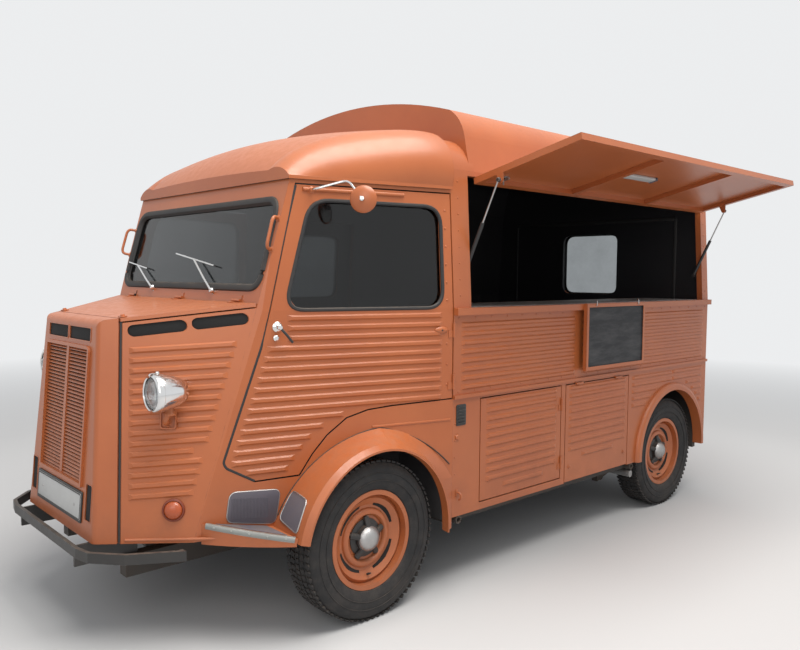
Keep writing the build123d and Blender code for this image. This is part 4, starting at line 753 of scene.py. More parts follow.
LINE = [("Start", VECTOR, (0, 0, 0)), ("End", VECTOR, (0, 0, 1)), ("Count", WHOLE, 5),
        ("Facing", VECTOR, (0, 0, 0))]
rivet_row = Pattern("rivet_row", LINE + [("Head Radius", FLOAT, 0.005), ("Head Height", FLOAT, 0.003)])
head = rivet_row.out("GeometryNodeMeshUVSphere", {"Segments": 12, "Rings": 6, "Radius": 1.0})
wide, tall = rivet_row.given["Head Radius"], rivet_row.given["Head Height"]
head_size = rivet_row.out("ShaderNodeCombineXYZ", {0: wide, 1: wide, 2: tall})
rivet_row.line_of(rivet_row.out("GeometryNodeTransform", {"Geometry": head, "Scale": head_size}))
bar_row = Pattern("bar_row", LINE + [("Bar Size", VECTOR, (0.004, 0.1, 0.003))])
bar_row.line_of(bar_row.out("GeometryNodeMeshCube", {"Size": bar_row.given["Bar Size"]}))


def rivets(start, end, count, direction, radius=5, height=3):
    """A row of round heads between two places, that look along a direction."""
    return rivet_row.grow(
        "orange_enamel", Start=start, End=end, Count=count, Head_Radius=radius / 1000,
        Head_Height=height / 1000, Facing=direction.to_track_quat("Z", "Y").to_euler())


print("patterns:", rivet_row.tree.name, "and", bar_row.tree.name)

# %% [markdown]
# The windscreen is held by a thick black rubber seal, and so are the windows in the doors. A
# seal is the same outline as its glass with soft corners, swept by a flattened round section.
# It hides the joint between glass and metal, which is why it makes a window look finished.

# %% Rubber seals round the glass
SCREEN_UP = Vector((-SCREEN_RAKE, 0, 1)).normalized()
CAB_DOORS = ("cab_door_left", "cab_door_right")
SEAL_RADIUS = 0.009


def on_screen(across, up, proud=0):
    """A place on the windscreen's face."""
    foot = Vector((SCREEN_FOOT_X, across, SCREEN_FOOT_Z))
    return at(*(foot + SCREEN_UP * up + SCREEN_NORMAL * proud))


def on_door(x, z, proud=0):
    """A place on the left door's outer face."""
    return at(x, door_y(x, z), z) + DOOR_NORMAL * (proud / 1000)


def screen_ring(foot_half, head_half, foot, head, proud, corner, flat):
    """A bar of rubber round the windscreen."""
    corners = [(-foot_half, foot), (foot_half, foot), (head_half, head), (-head_half, head)]
    path = rounded([on_screen(across, up, proud) for across, up in corners], corner, steps=8)
    return tube(path, 0.01, True, 8, flat, SCREEN_UP if flat > 1 else None)


screen_seal = [screen_ring(666, 659, 0, 385, 0, 0.075, 1.6), screen_ring(656, 649, 10, 375, -9, 0.067, 1)]
placed("windscreen_seal", screen_seal, "black_rubber")
door_window = [on_door(x, z, -3) for x, z in ((205, 1806), (-410, 1806), (-410, 1345), (330, 1345))]
door_seal = tube(rounded(door_window, 0.09, steps=8), SEAL_RADIUS, True, 8)
both_sides("door_window_seal", door_seal, "black_rubber", CAB_DOORS)
slider_corners = ((-640, 1760), (-1240, 1760), (-1240, 1330), (-640, 1330))
slider_window = [at(x, -(wall_y(z) + 46), z) for x, z in slider_corners]
tail_window = [at(REAR_X, y, z) for y, z in ((240, 1360), (240, 1812), (-240, 1812), (-240, 1360))]
for name, window, body in (("slider", slider_window, "side_slider"), ("tail", tail_window, "tail_lid")):
    placed(name + "_window_seal", tube(rounded(window, 0.08), SEAL_RADIUS, True, 8), "black_rubber", body)
print("five seals round the glass")

# %% [markdown]
# Two short wipers lie on the glass. Each is a polished arm from its pivot on the cowl to a clip,
# and a blade of rubber in a bright back. Both lean the same way, as the motor parks them.

# %% Wipers
wiper_metal, wiper_rubber = [], []
pivot_cap = [(0, 18), (9, 17), (13, 10), (13, 0), (16, 0), (16, -2)]
for pivot, blade in (((-300, -14), ((-651, 118), (-415, 84))), ((300, -18), ((-130, 158), (266, 96)))):
    clip = [(a + b) / 2 for a, b in zip(*blade)]
    knee = [a + 0.3 * (b - a) for a, b in zip(pivot, clip)]
    arm = [on_screen(*pivot, 14), on_screen(*knee, 16), on_screen(*clip, 11)]
    back = [on_screen(*end, 9) for end in blade]
    lip = [on_screen(*end, 3) for end in blade]
    wiper_metal.append(lathe(pivot_cap, on_screen(*pivot), SCREEN_NORMAL, 20))
    wiper_metal.append(wire(arm, 0.0055, 8, 0.03))
    wiper_metal.append(wire(back, 0.004, 8, flat=0.7, flat_way=SCREEN_NORMAL))
    wiper_rubber.append(wire(lip, 0.005, 6, flat=0.35, flat_way=SCREEN_NORMAL.cross(lip[1] - lip[0])))
placed("wiper_arms", wiper_metal, "bright_chrome")
placed("wiper_blades", wiper_rubber, "black_rubber")
print("two wipers on the glass")

# %% [markdown]
# A person who climbs into the cab pulls on a bent bar that is screwed to the windscreen pillar.
# Each one is a painted tube with two bends and two small feet. The mirror is a round painted
# shell on a bright wire arm, clamped to the top of the door frame so that it moves with it.

# %% Grab handles and mirrors
grab_out = Vector((0.86, 0.51, 0.2)).normalized() * 0.046
low_foot, high_foot = (at(screen_x(z), y, z) for y, z in ((690, 1592), (686, 1722)))
grab = [wire([low_foot, low_foot + grab_out, high_foot + grab_out, high_foot], 0.007, 12, 0.03)]
for foot in (low_foot, high_foot):
    grab.append(lathe([(14, 0), (14, 3), (9, 5), (7, 9)], foot, SCREEN_NORMAL, 20))
both_sides("grab_handle", grab, "orange_enamel")

mirror_head, mirror_way = at(100, 950, 1800), Vector((0.8, 0.6, 0)).normalized()
shell_outline = [(0, 21), (14, 20), (34, 16), (50, 9), (56, 2), (56, -4), (53, -7), (50, -5), (0, -5)]
mirror_shell = lathe(shell_outline, mirror_head, mirror_way, 48)
shells = both_sides("mirror_shell", mirror_shell, "orange_enamel", CAB_DOORS)
for piece, node in zip(shells, ("mirror_left", "mirror_right")):
    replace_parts(piece, node)
mirror_face = lathe([(0, -6), (49, -6), (50, -5), (0, -4.5)], mirror_head, mirror_way, 48)
both_sides("mirror_face", mirror_face, "bright_chrome", CAB_DOORS)
clamp = at(200, door_y(200, 1846), 1846)
arm = [clamp, clamp + DOOR_NORMAL * 0.035, at(118, 872, 1882), mirror_head + mirror_way * 0.022]
ball_joint = lathe([(0, 30), (9, 29), (11, 24), (11, 19), (0, 19)], mirror_head, mirror_way, 20)
both_sides("mirror_arm", [wire(arm, 0.005, 10, 0.03), ball_joint], "bright_chrome", CAB_DOORS)
clamp_body = lathe([(14, 0), (14, 6), (11, 8), (11, 16), (8, 19), (0, 19)], clamp, DOOR_NORMAL, 24)
both_sides("mirror_clamp", clamp_body, "orange_enamel", CAB_DOORS)
print("grab handles and mirrors on both sides")

# %% [markdown]
# Flat things are cut from sheet: a plate, a trim or a rubber mat is a rounded rectangle on some
# panel. A face is three directions: across, up, and out of the panel. One function puts a plate
# on a face, and another finds where a line meets a CAD node, so that a piece can be seated on a
# curved or ribbed panel without guessing its height.

# %% Outlines and seats
NOSE_BACK = UP.cross(NOSE_NORMAL).normalized()
NOSE_UP = NOSE_NORMAL.cross(NOSE_BACK)
REAR = -FRONT
NOSE_FACE = (NOSE_BACK, NOSE_UP, NOSE_NORMAL)
SHELL_FACE = (SIDE, Vector((-SHELL_RAKE, 0, 1)).normalized(), SHELL_NORMAL)
WALL_FACE, RIGHT_FACE = (FRONT, UP, SIDE), (FRONT, UP, -SIDE)
AHEAD_FACE, TAIL_FACE, LEVEL_FACE = (SIDE, UP, FRONT), (SIDE, UP, REAR), (FRONT, SIDE, UP)


def on_nose(x, z, proud=0):
    """A place on the nose's left side."""
    return at(x, nose_y(x, z), z) + NOSE_NORMAL * (proud / 1000)


def on_shell(y, z, proud=0):
    """A place on the front shell."""
    return at(shell_x(z), y, z) + SHELL_NORMAL * (proud / 1000)


def sheet(centre, face, width, height, corner, steps=5):
    """The outline of a rounded rectangle, in millimetres, about a centre."""
    a, b = face[0].normalized() * (width / 2000), face[1].normalized() * (height / 2000)
    corners = [centre + a + b, centre - a + b, centre - a - b, centre + a - b]
    return rounded(corners, corner / 1000, True, steps)


def plate(centre, face, width, height, corner, thickness, soft=1.0):
    """A flat plate with round corners on a face."""
    return slab(sheet(centre, face, width, height, corner), face[2], thickness, soft)


def framed(centre, face, width, height, border, thickness, corner):
    """A flat frame round an opening."""
    inner = sheet(centre, face, width, height, corner)
    outer = sheet(centre, face, width + 2 * border, height + 2 * border, corner + border)
    return ring_plate(outer, inner, face[2], thickness)


def skin_of(node):
    """A CAD node's surface, ready to be met by lines."""
    mesh = nodes[node].data
    return BVHTree.FromPolygons([v.co for v in mesh.vertices], [p.vertices for p in mesh.polygons])


def touch(node, start, way):
    """Where a line first meets a CAD node, and which way the face looks there."""
    return skin_of(node).ray_cast(start, way)[:2]


def patch(node, outline, way, thickness):
    """A thin sheet that follows a CAD node under an outline, seen along a direction."""
    tree = skin_of(node)
    builder = bmesh.new()
    face = builder.faces.new([builder.verts.new(point) for point in outline])
    bmesh.ops.triangulate(builder, faces=[face])
    bmesh.ops.subdivide_edges(builder, edges=builder.edges, cuts=3, use_grid_fill=True)
    for vertex in builder.verts:
        place = tree.ray_cast(vertex.co - way, way)[0]
        if place is not None:
            vertex.co = place
    bmesh.ops.recalc_face_normals(builder, faces=builder.faces)
    if sum(f.normal.dot(way) * f.calc_area() for f in builder.faces) > 0:
        bmesh.ops.reverse_faces(builder, faces=builder.faces)
    bmesh.ops.solidify(builder, geom=builder.faces[:], thickness=-thickness / 1000)
    return mesh_from(builder)


print("outline and seat helpers are ready")

# %% [markdown]
# Behind every opening of the nose it is dark. Near-black sheets just behind the vents are painted
# shade, and a radiator with upright fins fills the grille. Its fins are one bar repeated by
# Geometry Nodes. The blank plate under the grille stays empty.

# %% Radiator, vents and number plate
# where across, how high, painted-shade sheet, opening, border, thickness and corner of its trim
shell_vents = ((126, 1242, (236, 58), (232, 52), 5, 3, 6), (322, 578, (62, 150), (58, 144), 4, 2.5, 8))
# painted shade: near-black sheets set just behind the vents stand in for the shade behind them
vent_shades, trims = [], []
for across, z, cloth, opening, *trim in shell_vents:
    for y in (-across, across):
        vent_shades.append(plate(on_shell(y, z, -6), SHELL_FACE, *cloth, 6, 2, 0.5))
        trims.append(framed(on_shell(y, z, -1), SHELL_FACE, *opening, *trim))
for front, rear in ((846, 660), (646, 466)):
    corners = [(front, 28), (rear, 28), (rear, 84), (front, 84)]
    vent = slab([on_nose(x, bonnet_z(x) - below, -7) for x, below in corners], NOSE_NORMAL, 2, 0.5)
    vent_shades += [vent, flipped(vent)]
placed("vent_gauze", vent_shades, "void_black")
placed("vent_trims", trims, "orange_enamel")
core = [plate(at(893, 0, 905), AHEAD_FACE, 470, 560, 10, 22, 2)]
core += [plate(at(885, 0, z), AHEAD_FACE, 480, 54, 24, 38, 4) for z in (1212, 598)]
placed("radiator", core, "void_black")
fins = bar_row.grow("void_black", Start=at(917, -228, 905), End=at(917, 228, 905), Count=64,
                    Facing=(0, 0, 0), Bar_Size=(0.004, 0.0022, 0.55))
placed("radiator_fins", fins, "void_black")
PLATE_Z = 546
placed("plate_holder", plate(on_shell(0, PLATE_Z, 0.5), SHELL_FACE, 530, 128, 10, 5, 1.5), "black_enamel")
placed("blank_plate", plate(on_shell(0, PLATE_Z, 5.2), SHELL_FACE, 512, 108, 8, 1.6, 0.6), "white_enamel")
placed("plate_rim", framed(on_shell(0, PLATE_Z, 5.4), SHELL_FACE, 500, 96, 5, 2.2, 6), "black_enamel")
plate_screws = rivets(on_shell(-190, PLATE_Z, 7), on_shell(190, PLATE_Z, 7), 2, SHELL_NORMAL, 6, 2.4)
placed("plate_screws", plate_screws, "bare_steel")
print("radiator with 64 fins, eight vents and a blank plate")

# %% [markdown]
# Each headlamp is a bullet of polished sheet. A reflector of silvered brass sits inside, a
# fluted glass closes it, and a bezel with a clip at the top clamps the glass. It replaces the
# plain CAD shape, on the same bracket and at the same place.

# %% Headlamps
lamp = at(855, 598, 1035)
bullet = [(0, -152), (20, -150), (41, -137), (57, -106), (67, -74), (73, -44), (75, -26), (75, -14),
          (71, -14), (69, -44), (62, -76), (51, -106), (31, -132), (0, -139)]
bezel = [(63, -12), (63, -4), (67, 0), (72, -2), (76, -8), (77, -16), (77, -25), (75, -27), (73, -16),
         (63, -12)]
reflector = [(64, -10), (58, -24), (46, -42), (28, -56), (10, -61), (0, -61), (0, -63), (12, -63), (30, -58),
             (48, -44), (60, -26), (66, -10), (64, -10)]
bulb = [(0, -26), (9, -27), (12, -36), (8, -60), (0, -61)]
lens = [(0, 5), (22, 4), (44, 0), (60, -6), (64, -10), (60, -10), (42, -4), (22, 0), (0, 1)]
knob = [(0, 6), (7, 5), (8, 0), (9, 0), (9, -4), (0, -4)]
clip_bends = ((-0.032, 0.078), (-0.012, 0.078), (0.001, 0.078), (0.004, 0.07))
clip = [lamp + FRONT * out + UP * rise for out, rise in clip_bends]
lamp_shell = [lathe(bullet, lamp, FRONT, 48), lathe(bezel, lamp, FRONT, 48)]
lamp_shell.append(wire(clip, 0.0022, 8, 0.008, 3, 4.0, SIDE))
lamp_shell.append(lathe(knob, lamp + UP * 0.079 - FRONT * 0.03, UP, 12))
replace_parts(both_sides("headlamp_shell", lamp_shell, "bright_chrome")[0], "headlamps")
silvered = [lathe(reflector, lamp, FRONT, 40), lathe(bulb, lamp, FRONT, 20)]
both_sides("headlamp_reflector", silvered, "bright_chrome")
both_sides("headlamp_lens", lathe(lens, lamp, FRONT, 48), "lamp_glass")

seat, _ = touch("nose_sides", on_nose(742, 902, 200), -NOSE_NORMAL)
lug = seat + NOSE_NORMAL * 0.001
foot_middle = lug + NOSE_UP * 0.01
screw_line = [lug + NOSE_UP * rise + NOSE_NORMAL * 0.006 for rise in (-0.016, 0.036)]
bracket = [
    wire([seat, seat + NOSE_NORMAL * 0.07, at(775, 598, 965)], 0.011, 14, 0.03),
    plate(foot_middle, NOSE_FACE, 66, 78, 14, 5, 1.5),
    framed(foot_middle + NOSE_NORMAL * 0.004, NOSE_FACE, 52, 64, 6, 8, 10),
    rivets(*screw_line, 2, NOSE_NORMAL, 6, 4),
    lathe([(0, 0), (22, 0), (22, 6), (16, 14), (12, 30), (0, 30)], at(775, 598, 945), UP, 24),
]
both_sides("headlamp_bracket", bracket, "orange_enamel")
print("two headlamps with reflector and glass")

# %% [markdown]
# Low on each side of the nose sits a round indicator: a dull amber ring with an orange-red cup of
# the same plastic. The joint between the front shell and the nose is filled by a strip of
# black rubber, which the photo shows as a dark line from the bonnet to the foot of the nose.
# Two small catches, each a plate with a button, hold the front of the bonnet.

# %% Indicators, joint strips and bonnet catches
spot = on_nose(750, 558)
ring = lathe([(0, -1), (44, -1), (45, 6), (42, 11), (38, 12), (36, 8), (0, 8)], spot, NOSE_NORMAL, 40)
both_sides("indicator_ring", ring, "dull_amber")
cup = lathe([(0, 27), (14, 26), (26, 22), (33, 15), (36, 8.2), (0, 8.2)], spot, NOSE_NORMAL, 40)
both_sides("indicator_lens", cup, "amber_plastic")
joint = [on_nose(864 + (BONNET_FRONT_Z - z) * 0.0688, z, -6) for z in (1300, 1000, 700, 434)]
both_sides("nose_joint_strip", wire(joint, 0.003, 8, flat=1.85, flat_way=NOSE_BACK), "black_rubber")
both_sides("nose_foot_bead", wire([on_nose(x, 444) for x in (905, 760, 614)], 0.006), "orange_enamel")
bonnet_face = (SIDE, Vector((1, 0, -BONNET_RAKE)), BONNET_NORMAL)
catch_x = 845
catches = []
for y in (-330, 330):
    catches.append(plate(at(catch_x, y, bonnet_z(catch_x) + 1), bonnet_face, 46, 24, 6, 4))
    button = [(0, 9), (7, 8), (9, 4), (9, 0), (0, 0)]
    catches.append(lathe(button, at(catch_x, y, bonnet_z(catch_x) + 4), BONNET_NORMAL, 16))
placed("bonnet_catches", catches, "orange_enamel", "bonnet_lid")
print("indicators, joint strips and catches")

# %% [markdown]
# Cab doors on this truck hang at their rear edge, so the handle sits at the front: a chrome
# rose, a short spindle and a lever that points down to the rear. A pressed almond-shaped blister
# covers the check strap, rivets hold the rear edge, and a half-round band stiffens the top.

# %% Door furniture


def dome(centre, normal, across, half_wide, half_tall, height, sides=28, rings=6):
    """A low oval bump on a panel."""
    across = (across - normal * across.dot(normal)).normalized() * (half_wide / 1000)
    rise = normal.cross(across).normalized() * (half_tall / 1000)
    builder = bmesh.new()
    loops = []
    for i in range(rings):
        angle = i / rings * math.pi / 2
        reach, lift = math.cos(angle), normal * (height * math.sin(angle) / 1000)
        loops.append(circle_of(builder, centre + lift, across * reach, rise * reach, sides))
    builder.faces.new(loops[0])
    loops.append([builder.verts.new(centre + normal * (height / 1000))])
    for first, second in zip(loops, loops[1:]):
        bridged(builder, first, second)
    return mesh_from(builder)


DOOR_BACK = Vector((-1, SIDE_TAPER, 0)).normalized()
rose, _ = touch("door_left", on_door(361, 1277, 200), -DOOR_NORMAL)
rose_outline = [(0, 0), (21, 0), (21, 3), (16, 7), (10, 10), (9, 24), (11, 26), (11, 40), (8, 44), (0, 44)]
lock = lathe([(0, 0), (12, 0), (12, 4), (8, 7), (0, 7)], rose + Vector((0.006, 0, -0.046)), DOOR_NORMAL, 20)
both_sides("door_handle_rose", [lathe(rose_outline, rose, DOOR_NORMAL, 28), lock], "bright_chrome", CAB_DOORS)
lever_start = rose + DOOR_NORMAL * 0.036
lever_end = lever_start + DOOR_BACK * 0.05 - UP * 0.062 + DOOR_NORMAL * 0.012
lever_knee = lever_start.lerp(lever_end, 0.5) + DOOR_NORMAL * 0.006
both_sides("door_lever", wire([lever_start, lever_knee, lever_end], 0.0055), "black_enamel", CAB_DOORS)

BLISTER = on_door(-398, 1243)
door_details = [
    dome(BLISTER, DOOR_NORMAL, DOOR_BACK, 36, 17, 13),
    wire([on_door(x, 1848, 3) for x in (-225, 20, 236)], 0.0085, 12),
    rivets(on_door(-430, 1790), on_door(-430, 1380), 6, DOOR_NORMAL, 5.5, 4),
    rivets(on_door(-430, 1180), on_door(-430, 990), 3, DOOR_NORMAL, 5.5, 4),
]
both_sides("door_details", door_details, "orange_enamel", CAB_DOORS)
pin = lathe([(0, 16), (4, 15), (4, 11), (0, 11)], BLISTER, DOOR_NORMAL, 14)
both_sides("door_strap_pin", pin, "black_enamel", CAB_DOORS)
edge = [on_door(x, z, 0.6) for x, z in ((265, 1862), (427, 1194), (581, 735), (569, 712), (457, 648))]
door_strip = wire(edge, 0.0014, 6, 0.012, 3, 3.6, DOOR_BACK)
both_sides("door_edge_strip", door_strip, "black_rubber", CAB_DOORS)
print("handles, blisters, rivets and rubber strips on both doors")

# %% [markdown]
# People climb in over a small sloping step. Its edge has a pale worn band held by rivets, and
# above it two rubber mats save the paint from shoes: one on the side of the cab, one on the
# front of the wing. The ribs of the side mat are one repeated bar.

# %% Step and kick plates
STEP_X, STEP_Z, STEP_RAKE = 343, 440, 0.19
STEP_NORMAL = Vector((-STEP_RAKE, 0, 1)).normalized()
EDGE_OUT = Vector((0.65, 0.75, 0))


def step_top(x, y, lift=0):
    """A place on the step's sloping top."""
    return at(x, y, STEP_Z + STEP_RAKE * (x - STEP_X) + lift)


def arc_through(first, middle, last, steps):
    """Points on the circle arc through three places in a plane, in millimetres."""
    (ax, ay), (bx, by), (cx, cy) = first, middle, last
    d = 2 * (ax * (by - cy) + bx * (cy - ay) + cx * (ay - by))
    a, b, c = ax * ax + ay * ay, bx * bx + by * by, cx * cx + cy * cy
    ux = (a * (by - cy) + b * (cy - ay) + c * (ay - by)) / d
    uy = (a * (cx - bx) + b * (ax - cx) + c * (bx - ax)) / d
    radius = math.hypot(ax - ux, ay - uy)
    start, end = (math.atan2(y - uy, x - ux) for x, y in (first, last))
    turns = [start + (end - start) * i / steps for i in range(steps + 1)]
    return [(ux + radius * math.cos(turn), uy + radius * math.sin(turn)) for turn in turns]


step_edge = arc_through((364, 938), (524, 807.7), (668, 635.4), 24)[3:24]
inset = [(x - 10, y - 10) for x, y in step_edge]
nosing = [wire([step_top(*spot, 1) for spot in inset], 0.0022, 8, flat=5.5, flat_way=EDGE_OUT + UP * 0.12)]
nosing.append(wire([step_top(*spot, -8) for spot in step_edge], 0.003, 8, flat=3.6, flat_way=UP))
for i, k in ((2, 7), (12, 17)):
    nosing.append(rivets(step_top(*inset[i], 3), step_top(*inset[k], 3), 2, STEP_NORMAL, 5, 2))
for spot in step_edge[2:19:4]:
    nosing.append(lathe([(0, 6.5), (3, 6), (5, 4), (5, 0), (0, 0)], step_top(*spot, -8), EDGE_OUT, 12))
both_sides("step_nosing", nosing, "step_sheet")
tread_edge = [step_top(x - 26, y - 26, 0.5) for x, y in step_edge[2:20]]
tread_edge += [step_top(x, door_y(x) + 3, 0.5) for x in (590, 410)]
both_sides("step_tread", slab(tread_edge, STEP_NORMAL, 2, 0.6), "grey_plastic")

side_corners = [on_door(x, z, 1) for x, z in ((572, 492), (556, 612), (350, 600), (372, 458))]
side_mat = rounded(side_corners, 0.03, True, 5)
ribs = bar_row.grow("grey_plastic", Start=on_door(404, 531, 4), End=on_door(548, 546, 4), Count=26,
                    Facing=(0, 0, math.atan2(-SIDE_TAPER, 1)), Bar_Size=(0.003, 0.003, 0.084))
both_sides("kick_mat_side", [slab(side_mat, DOOR_NORMAL, 3, 1), ribs], "grey_plastic")
both_sides("kick_mat_rim", tube(side_mat, 0.0032, True, 8), "bare_steel")
wing_corners = [at(600, y, z) for y, z in ((740, 482), (750, 592), (888, 584), (900, 462))]
wing_mat = rounded(wing_corners, 0.024, True, 4)
both_sides("kick_mat_wing", patch("front_wings", wing_mat, REAR, 4), "grey_plastic")
seats_of_rim = [touch("front_wings", point, REAR) for point in wing_mat]
wing_rim = [spot + way * 0.003 for spot, way in seats_of_rim]
both_sides("kick_mat_wing_rim", tube(wing_rim, 0.0032, True, 8), "bare_steel")
print("nosing, tread and mats beside both steps")

# %% [markdown]
# The wing is a pressing of its own. Where it meets the side of the cab a dark cord of sealant
# follows the joint round the wheel, and behind the wing a shallow crease runs level to the
# corner of the load body. The joint is two arcs that meet over the wheel.

# %% Cord and crease round the front wing
WING_TOP, WING_REAR_X, WING_FOOT_Z = (-94, 819), -452, 462
seam = arc_through((384, 430), (262, 642), WING_TOP, 20)
seam += arc_through(WING_TOP, (-320, 726), (-500, 549), 12)[1:]
cord = [on_door(x, z, 1.5) for x, z in seam if z > WING_FOOT_Z and x > WING_REAR_X]
both_sides("wing_cord", wire(cord, 0.0028, 8), "black_rubber")
crease = [on_door(x, 824) for x in (-60, -250, WING_REAR_X)]
both_sides("wing_crease", wire(crease, 0.0042, flat=1.5, flat_way=UP), "orange_enamel")
print("cord of", len(cord), "points round each wing")

# %% [markdown]
# The side of the load body is flat sheet with joints, screws and small fittings: a louvred vent,
# a hook and a lock on the corner panel, fasteners on the locker and the flap, and the menu board
# whose wooden frame was painted with the truck.

# %% Fittings on the serving side


def on_wall(x, z, proud=0):
    """A place on the serving side's wall."""
    return at(x, wall_y(z), z) + SIDE * (proud / 1000)


louvres = bar_row.grow("black_enamel", Start=on_wall(-520, 800, 5), End=on_wall(-520, 876, 5), Count=6,
                       Facing=(0.5, 0, 0), Bar_Size=(0.052, 0.008, 0.0024))
placed("side_vent", [plate(on_wall(-520, 838), WALL_FACE, 66, 100, 8, 4, 1), louvres], "black_enamel")
HOOK_X = -502
hook = [on_wall(HOOK_X, z, out) for z, out in ((470, 0), (468, 22), (446, 26), (436, 12))]
lock_button = [(0, 9), (10, 8), (13, 4), (13, 0), (0, 0)]
fittings = [wire(hook, 0.005, 10, 0.01, 4), plate(on_wall(HOOK_X, 468), WALL_FACE, 26, 36, 6, 3, 1),
            lathe(lock_button, on_wall(-496, 735), SIDE, 20)]
placed("corner_fittings", fittings, "orange_enamel")

slot_face = (Vector((1, 0, 1)), Vector((-1, 0, 1)), SIDE)
for body, z, places in (("locker_lid", 492, (-723, -1262)), ("flap_lid", 442, (-1404, -1960))):
    studs = []
    for x in places:
        studs.append(lathe([(0, 6), (9, 5), (12, 2), (12, 0), (0, 0)], on_wall(x, z), SIDE, 18))
        studs.append(plate(on_wall(x, z, 5), slot_face, 17, 3.4, 1, 2.4, 0.4))
    placed(body + "_fasteners", studs, "orange_enamel", body)

# first and last screw as x and z, how many, how proud and how high their heads are
screw_rows = [((-500, z), (-2960, z), 22, 0.5, 2) for z in (948, 1296)]
screw_rows += [((x, 1400), (x, 1930), 8, 0.3, 2.5) for x in (-512, -2955)]
screw_rows += [((x, 560), (x, 880), 5, 0.5, 2) for x in (-2968, -482)]
screws = [rivets(on_wall(*first, proud), on_wall(*last, proud), count, SIDE, 4.5, height)
          for first, last, count, proud, height in screw_rows]
both_sides("wall_screws", screws, "orange_enamel")

board_low, board_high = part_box("menu_board")
board_size = 1000 * (board_high - board_low)
board_face = middle_of("menu_board")
board_face.y = board_high.y
rim_back = Vector((board_face.x, board_low.y, board_face.z))
outlines = [[board_face + Vector((x * (board_size.x / 2 - border), 0, z * (board_size.z / 2 - border))) / 1000
             for x, z in ((1, 1), (-1, 1), (-1, -1), (1, -1))] for border in (0, 19)]
board_rim = framed(rim_back, WALL_FACE, board_size.x + 0.4, board_size.z + 0.4, 3, 18, 1)
placed("menu_board_frame", [ring_plate(*outlines, SIDE, 3), board_rim], "orange_enamel")
hooks = []
for x in (-0.22, 0.22):
    top = board_face + Vector((x, 0.001, board_size.z / 2000 - 0.012))
    bends = ((0, 0), (0.008, 0.004), (0.006, 0.03), (-0.006, 0.032))
    hooks.append(wire([top + Vector((0, out, rise)) for out, rise in bends], 0.0025, 8, 0.006, 4))
placed("menu_board_hooks", hooks, "bare_steel")
print("fittings, studs, screws and the board's frame")

# %% [markdown]
# A tyre is a lathe shape with tread on it. The casing is turned round the hub: bead, bulging
# wall, round shoulder. The tread is rows of small rubber blocks with gaps between, and Geometry
# Nodes set one block at each point of a circle, so that changing the count changes the tread.

# %% Tyres with tread
tread_ring = Pattern("tread_ring", [
    ("Centre", VECTOR, (0, 0, 0)), ("Count", WHOLE, 60), ("Radius", FLOAT, 0.34),
    ("Block", VECTOR, (0.02, 0.03, 0.01)), ("Skew", FLOAT, 0.0)])
given = tread_ring.given
hoop = tread_ring.out("GeometryNodeMeshCircle", {"Vertices": given["Count"], "Radius": given["Radius"]})
block = tread_ring.out("GeometryNodeMeshCube", {"Size": given["Block"]})
skew = tread_ring.out("ShaderNodeCombineXYZ", {0: given["Skew"]})
skew = tread_ring.out("FunctionNodeEulerToRotation", {0: skew})
block = tread_ring.out("GeometryNodeTransform", {"Geometry": block, "Rotation": skew})
spot = tread_ring.out("GeometryNodeInputPosition")
outward = tread_ring.out("FunctionNodeAlignRotationToVector", {"Vector": spot}, axis="X", pivot_axis="Z")
copies = {"Points": hoop, "Instance": block, "Rotation": outward}
blocks = tread_ring.out("GeometryNodeInstanceOnPoints", copies)
stood_up = {"Geometry": blocks, "Translation": given["Centre"], "Rotation": (math.pi / 2, 0, 0)}
tread_ring.close(tread_ring.out("GeometryNodeTransform", stood_up))

TYRE_HALF = [(206, 56), (218, 62), (222, 70), (240, 79), (272, 86), (304, 84), (326, 78), (337, 68),
             (342, 50), (344, 25)]
tyre_outline = [(r, -w) for r, w in TYRE_HALF[1:]] + [(r, w) for r, w in TYRE_HALF[::-1]]
tyre_outline += [(206, -56), (218, -62)]
# offset from the middle, width, count, skew and radius of each row of blocks
tread_rows = (
    (-0.062, 0.026, 72, 0.35, 0.3435), (-0.031, 0.026, 72, -0.3, 0.3455), (0.0, 0.022, 90, 0.0, 0.346),
    (0.031, 0.026, 72, 0.3, 0.3455), (0.062, 0.026, 72, -0.35, 0.3435))
WALL_OUT = 0.0875 * 0.975


def spoke_at(turn):
    """The direction from a hub at an angle."""
    return Vector((math.cos(turn), 0, math.sin(turn)))


wheel_sides = {"front_left": 1, "front_right": -1, "rear_left": 1, "rear_right": -1}
for name in wheel_sides:
    hub = middle_of("tyre_" + name)
    pieces = [lathe(tyre_outline, hub, SIDE, 96)]
    for offset, width, count, skew, radius in tread_rows:
        pieces.append(tread_ring.grow("tyre_rubber", Centre=hub + SIDE * offset, Count=count, Radius=radius,
                                      Block=(0.0075, 0.019, width), Skew=skew))
    for offset in (-WALL_OUT, WALL_OUT):
        for radius in (0.262, 0.296):
            circle = [hub + SIDE * offset + spoke_at(2 * math.pi * k / 96) * radius for k in range(96)]
            pieces.append(tube(circle, 0.0022, True, 6))
    tyre = placed("tyre_dressed_" + name, pieces, "tyre_rubber", "roller_" + name, crease=30)
    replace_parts(tyre, "tyre_" + name)
print("four tyres with", len(tyre.data.polygons), "faces each")
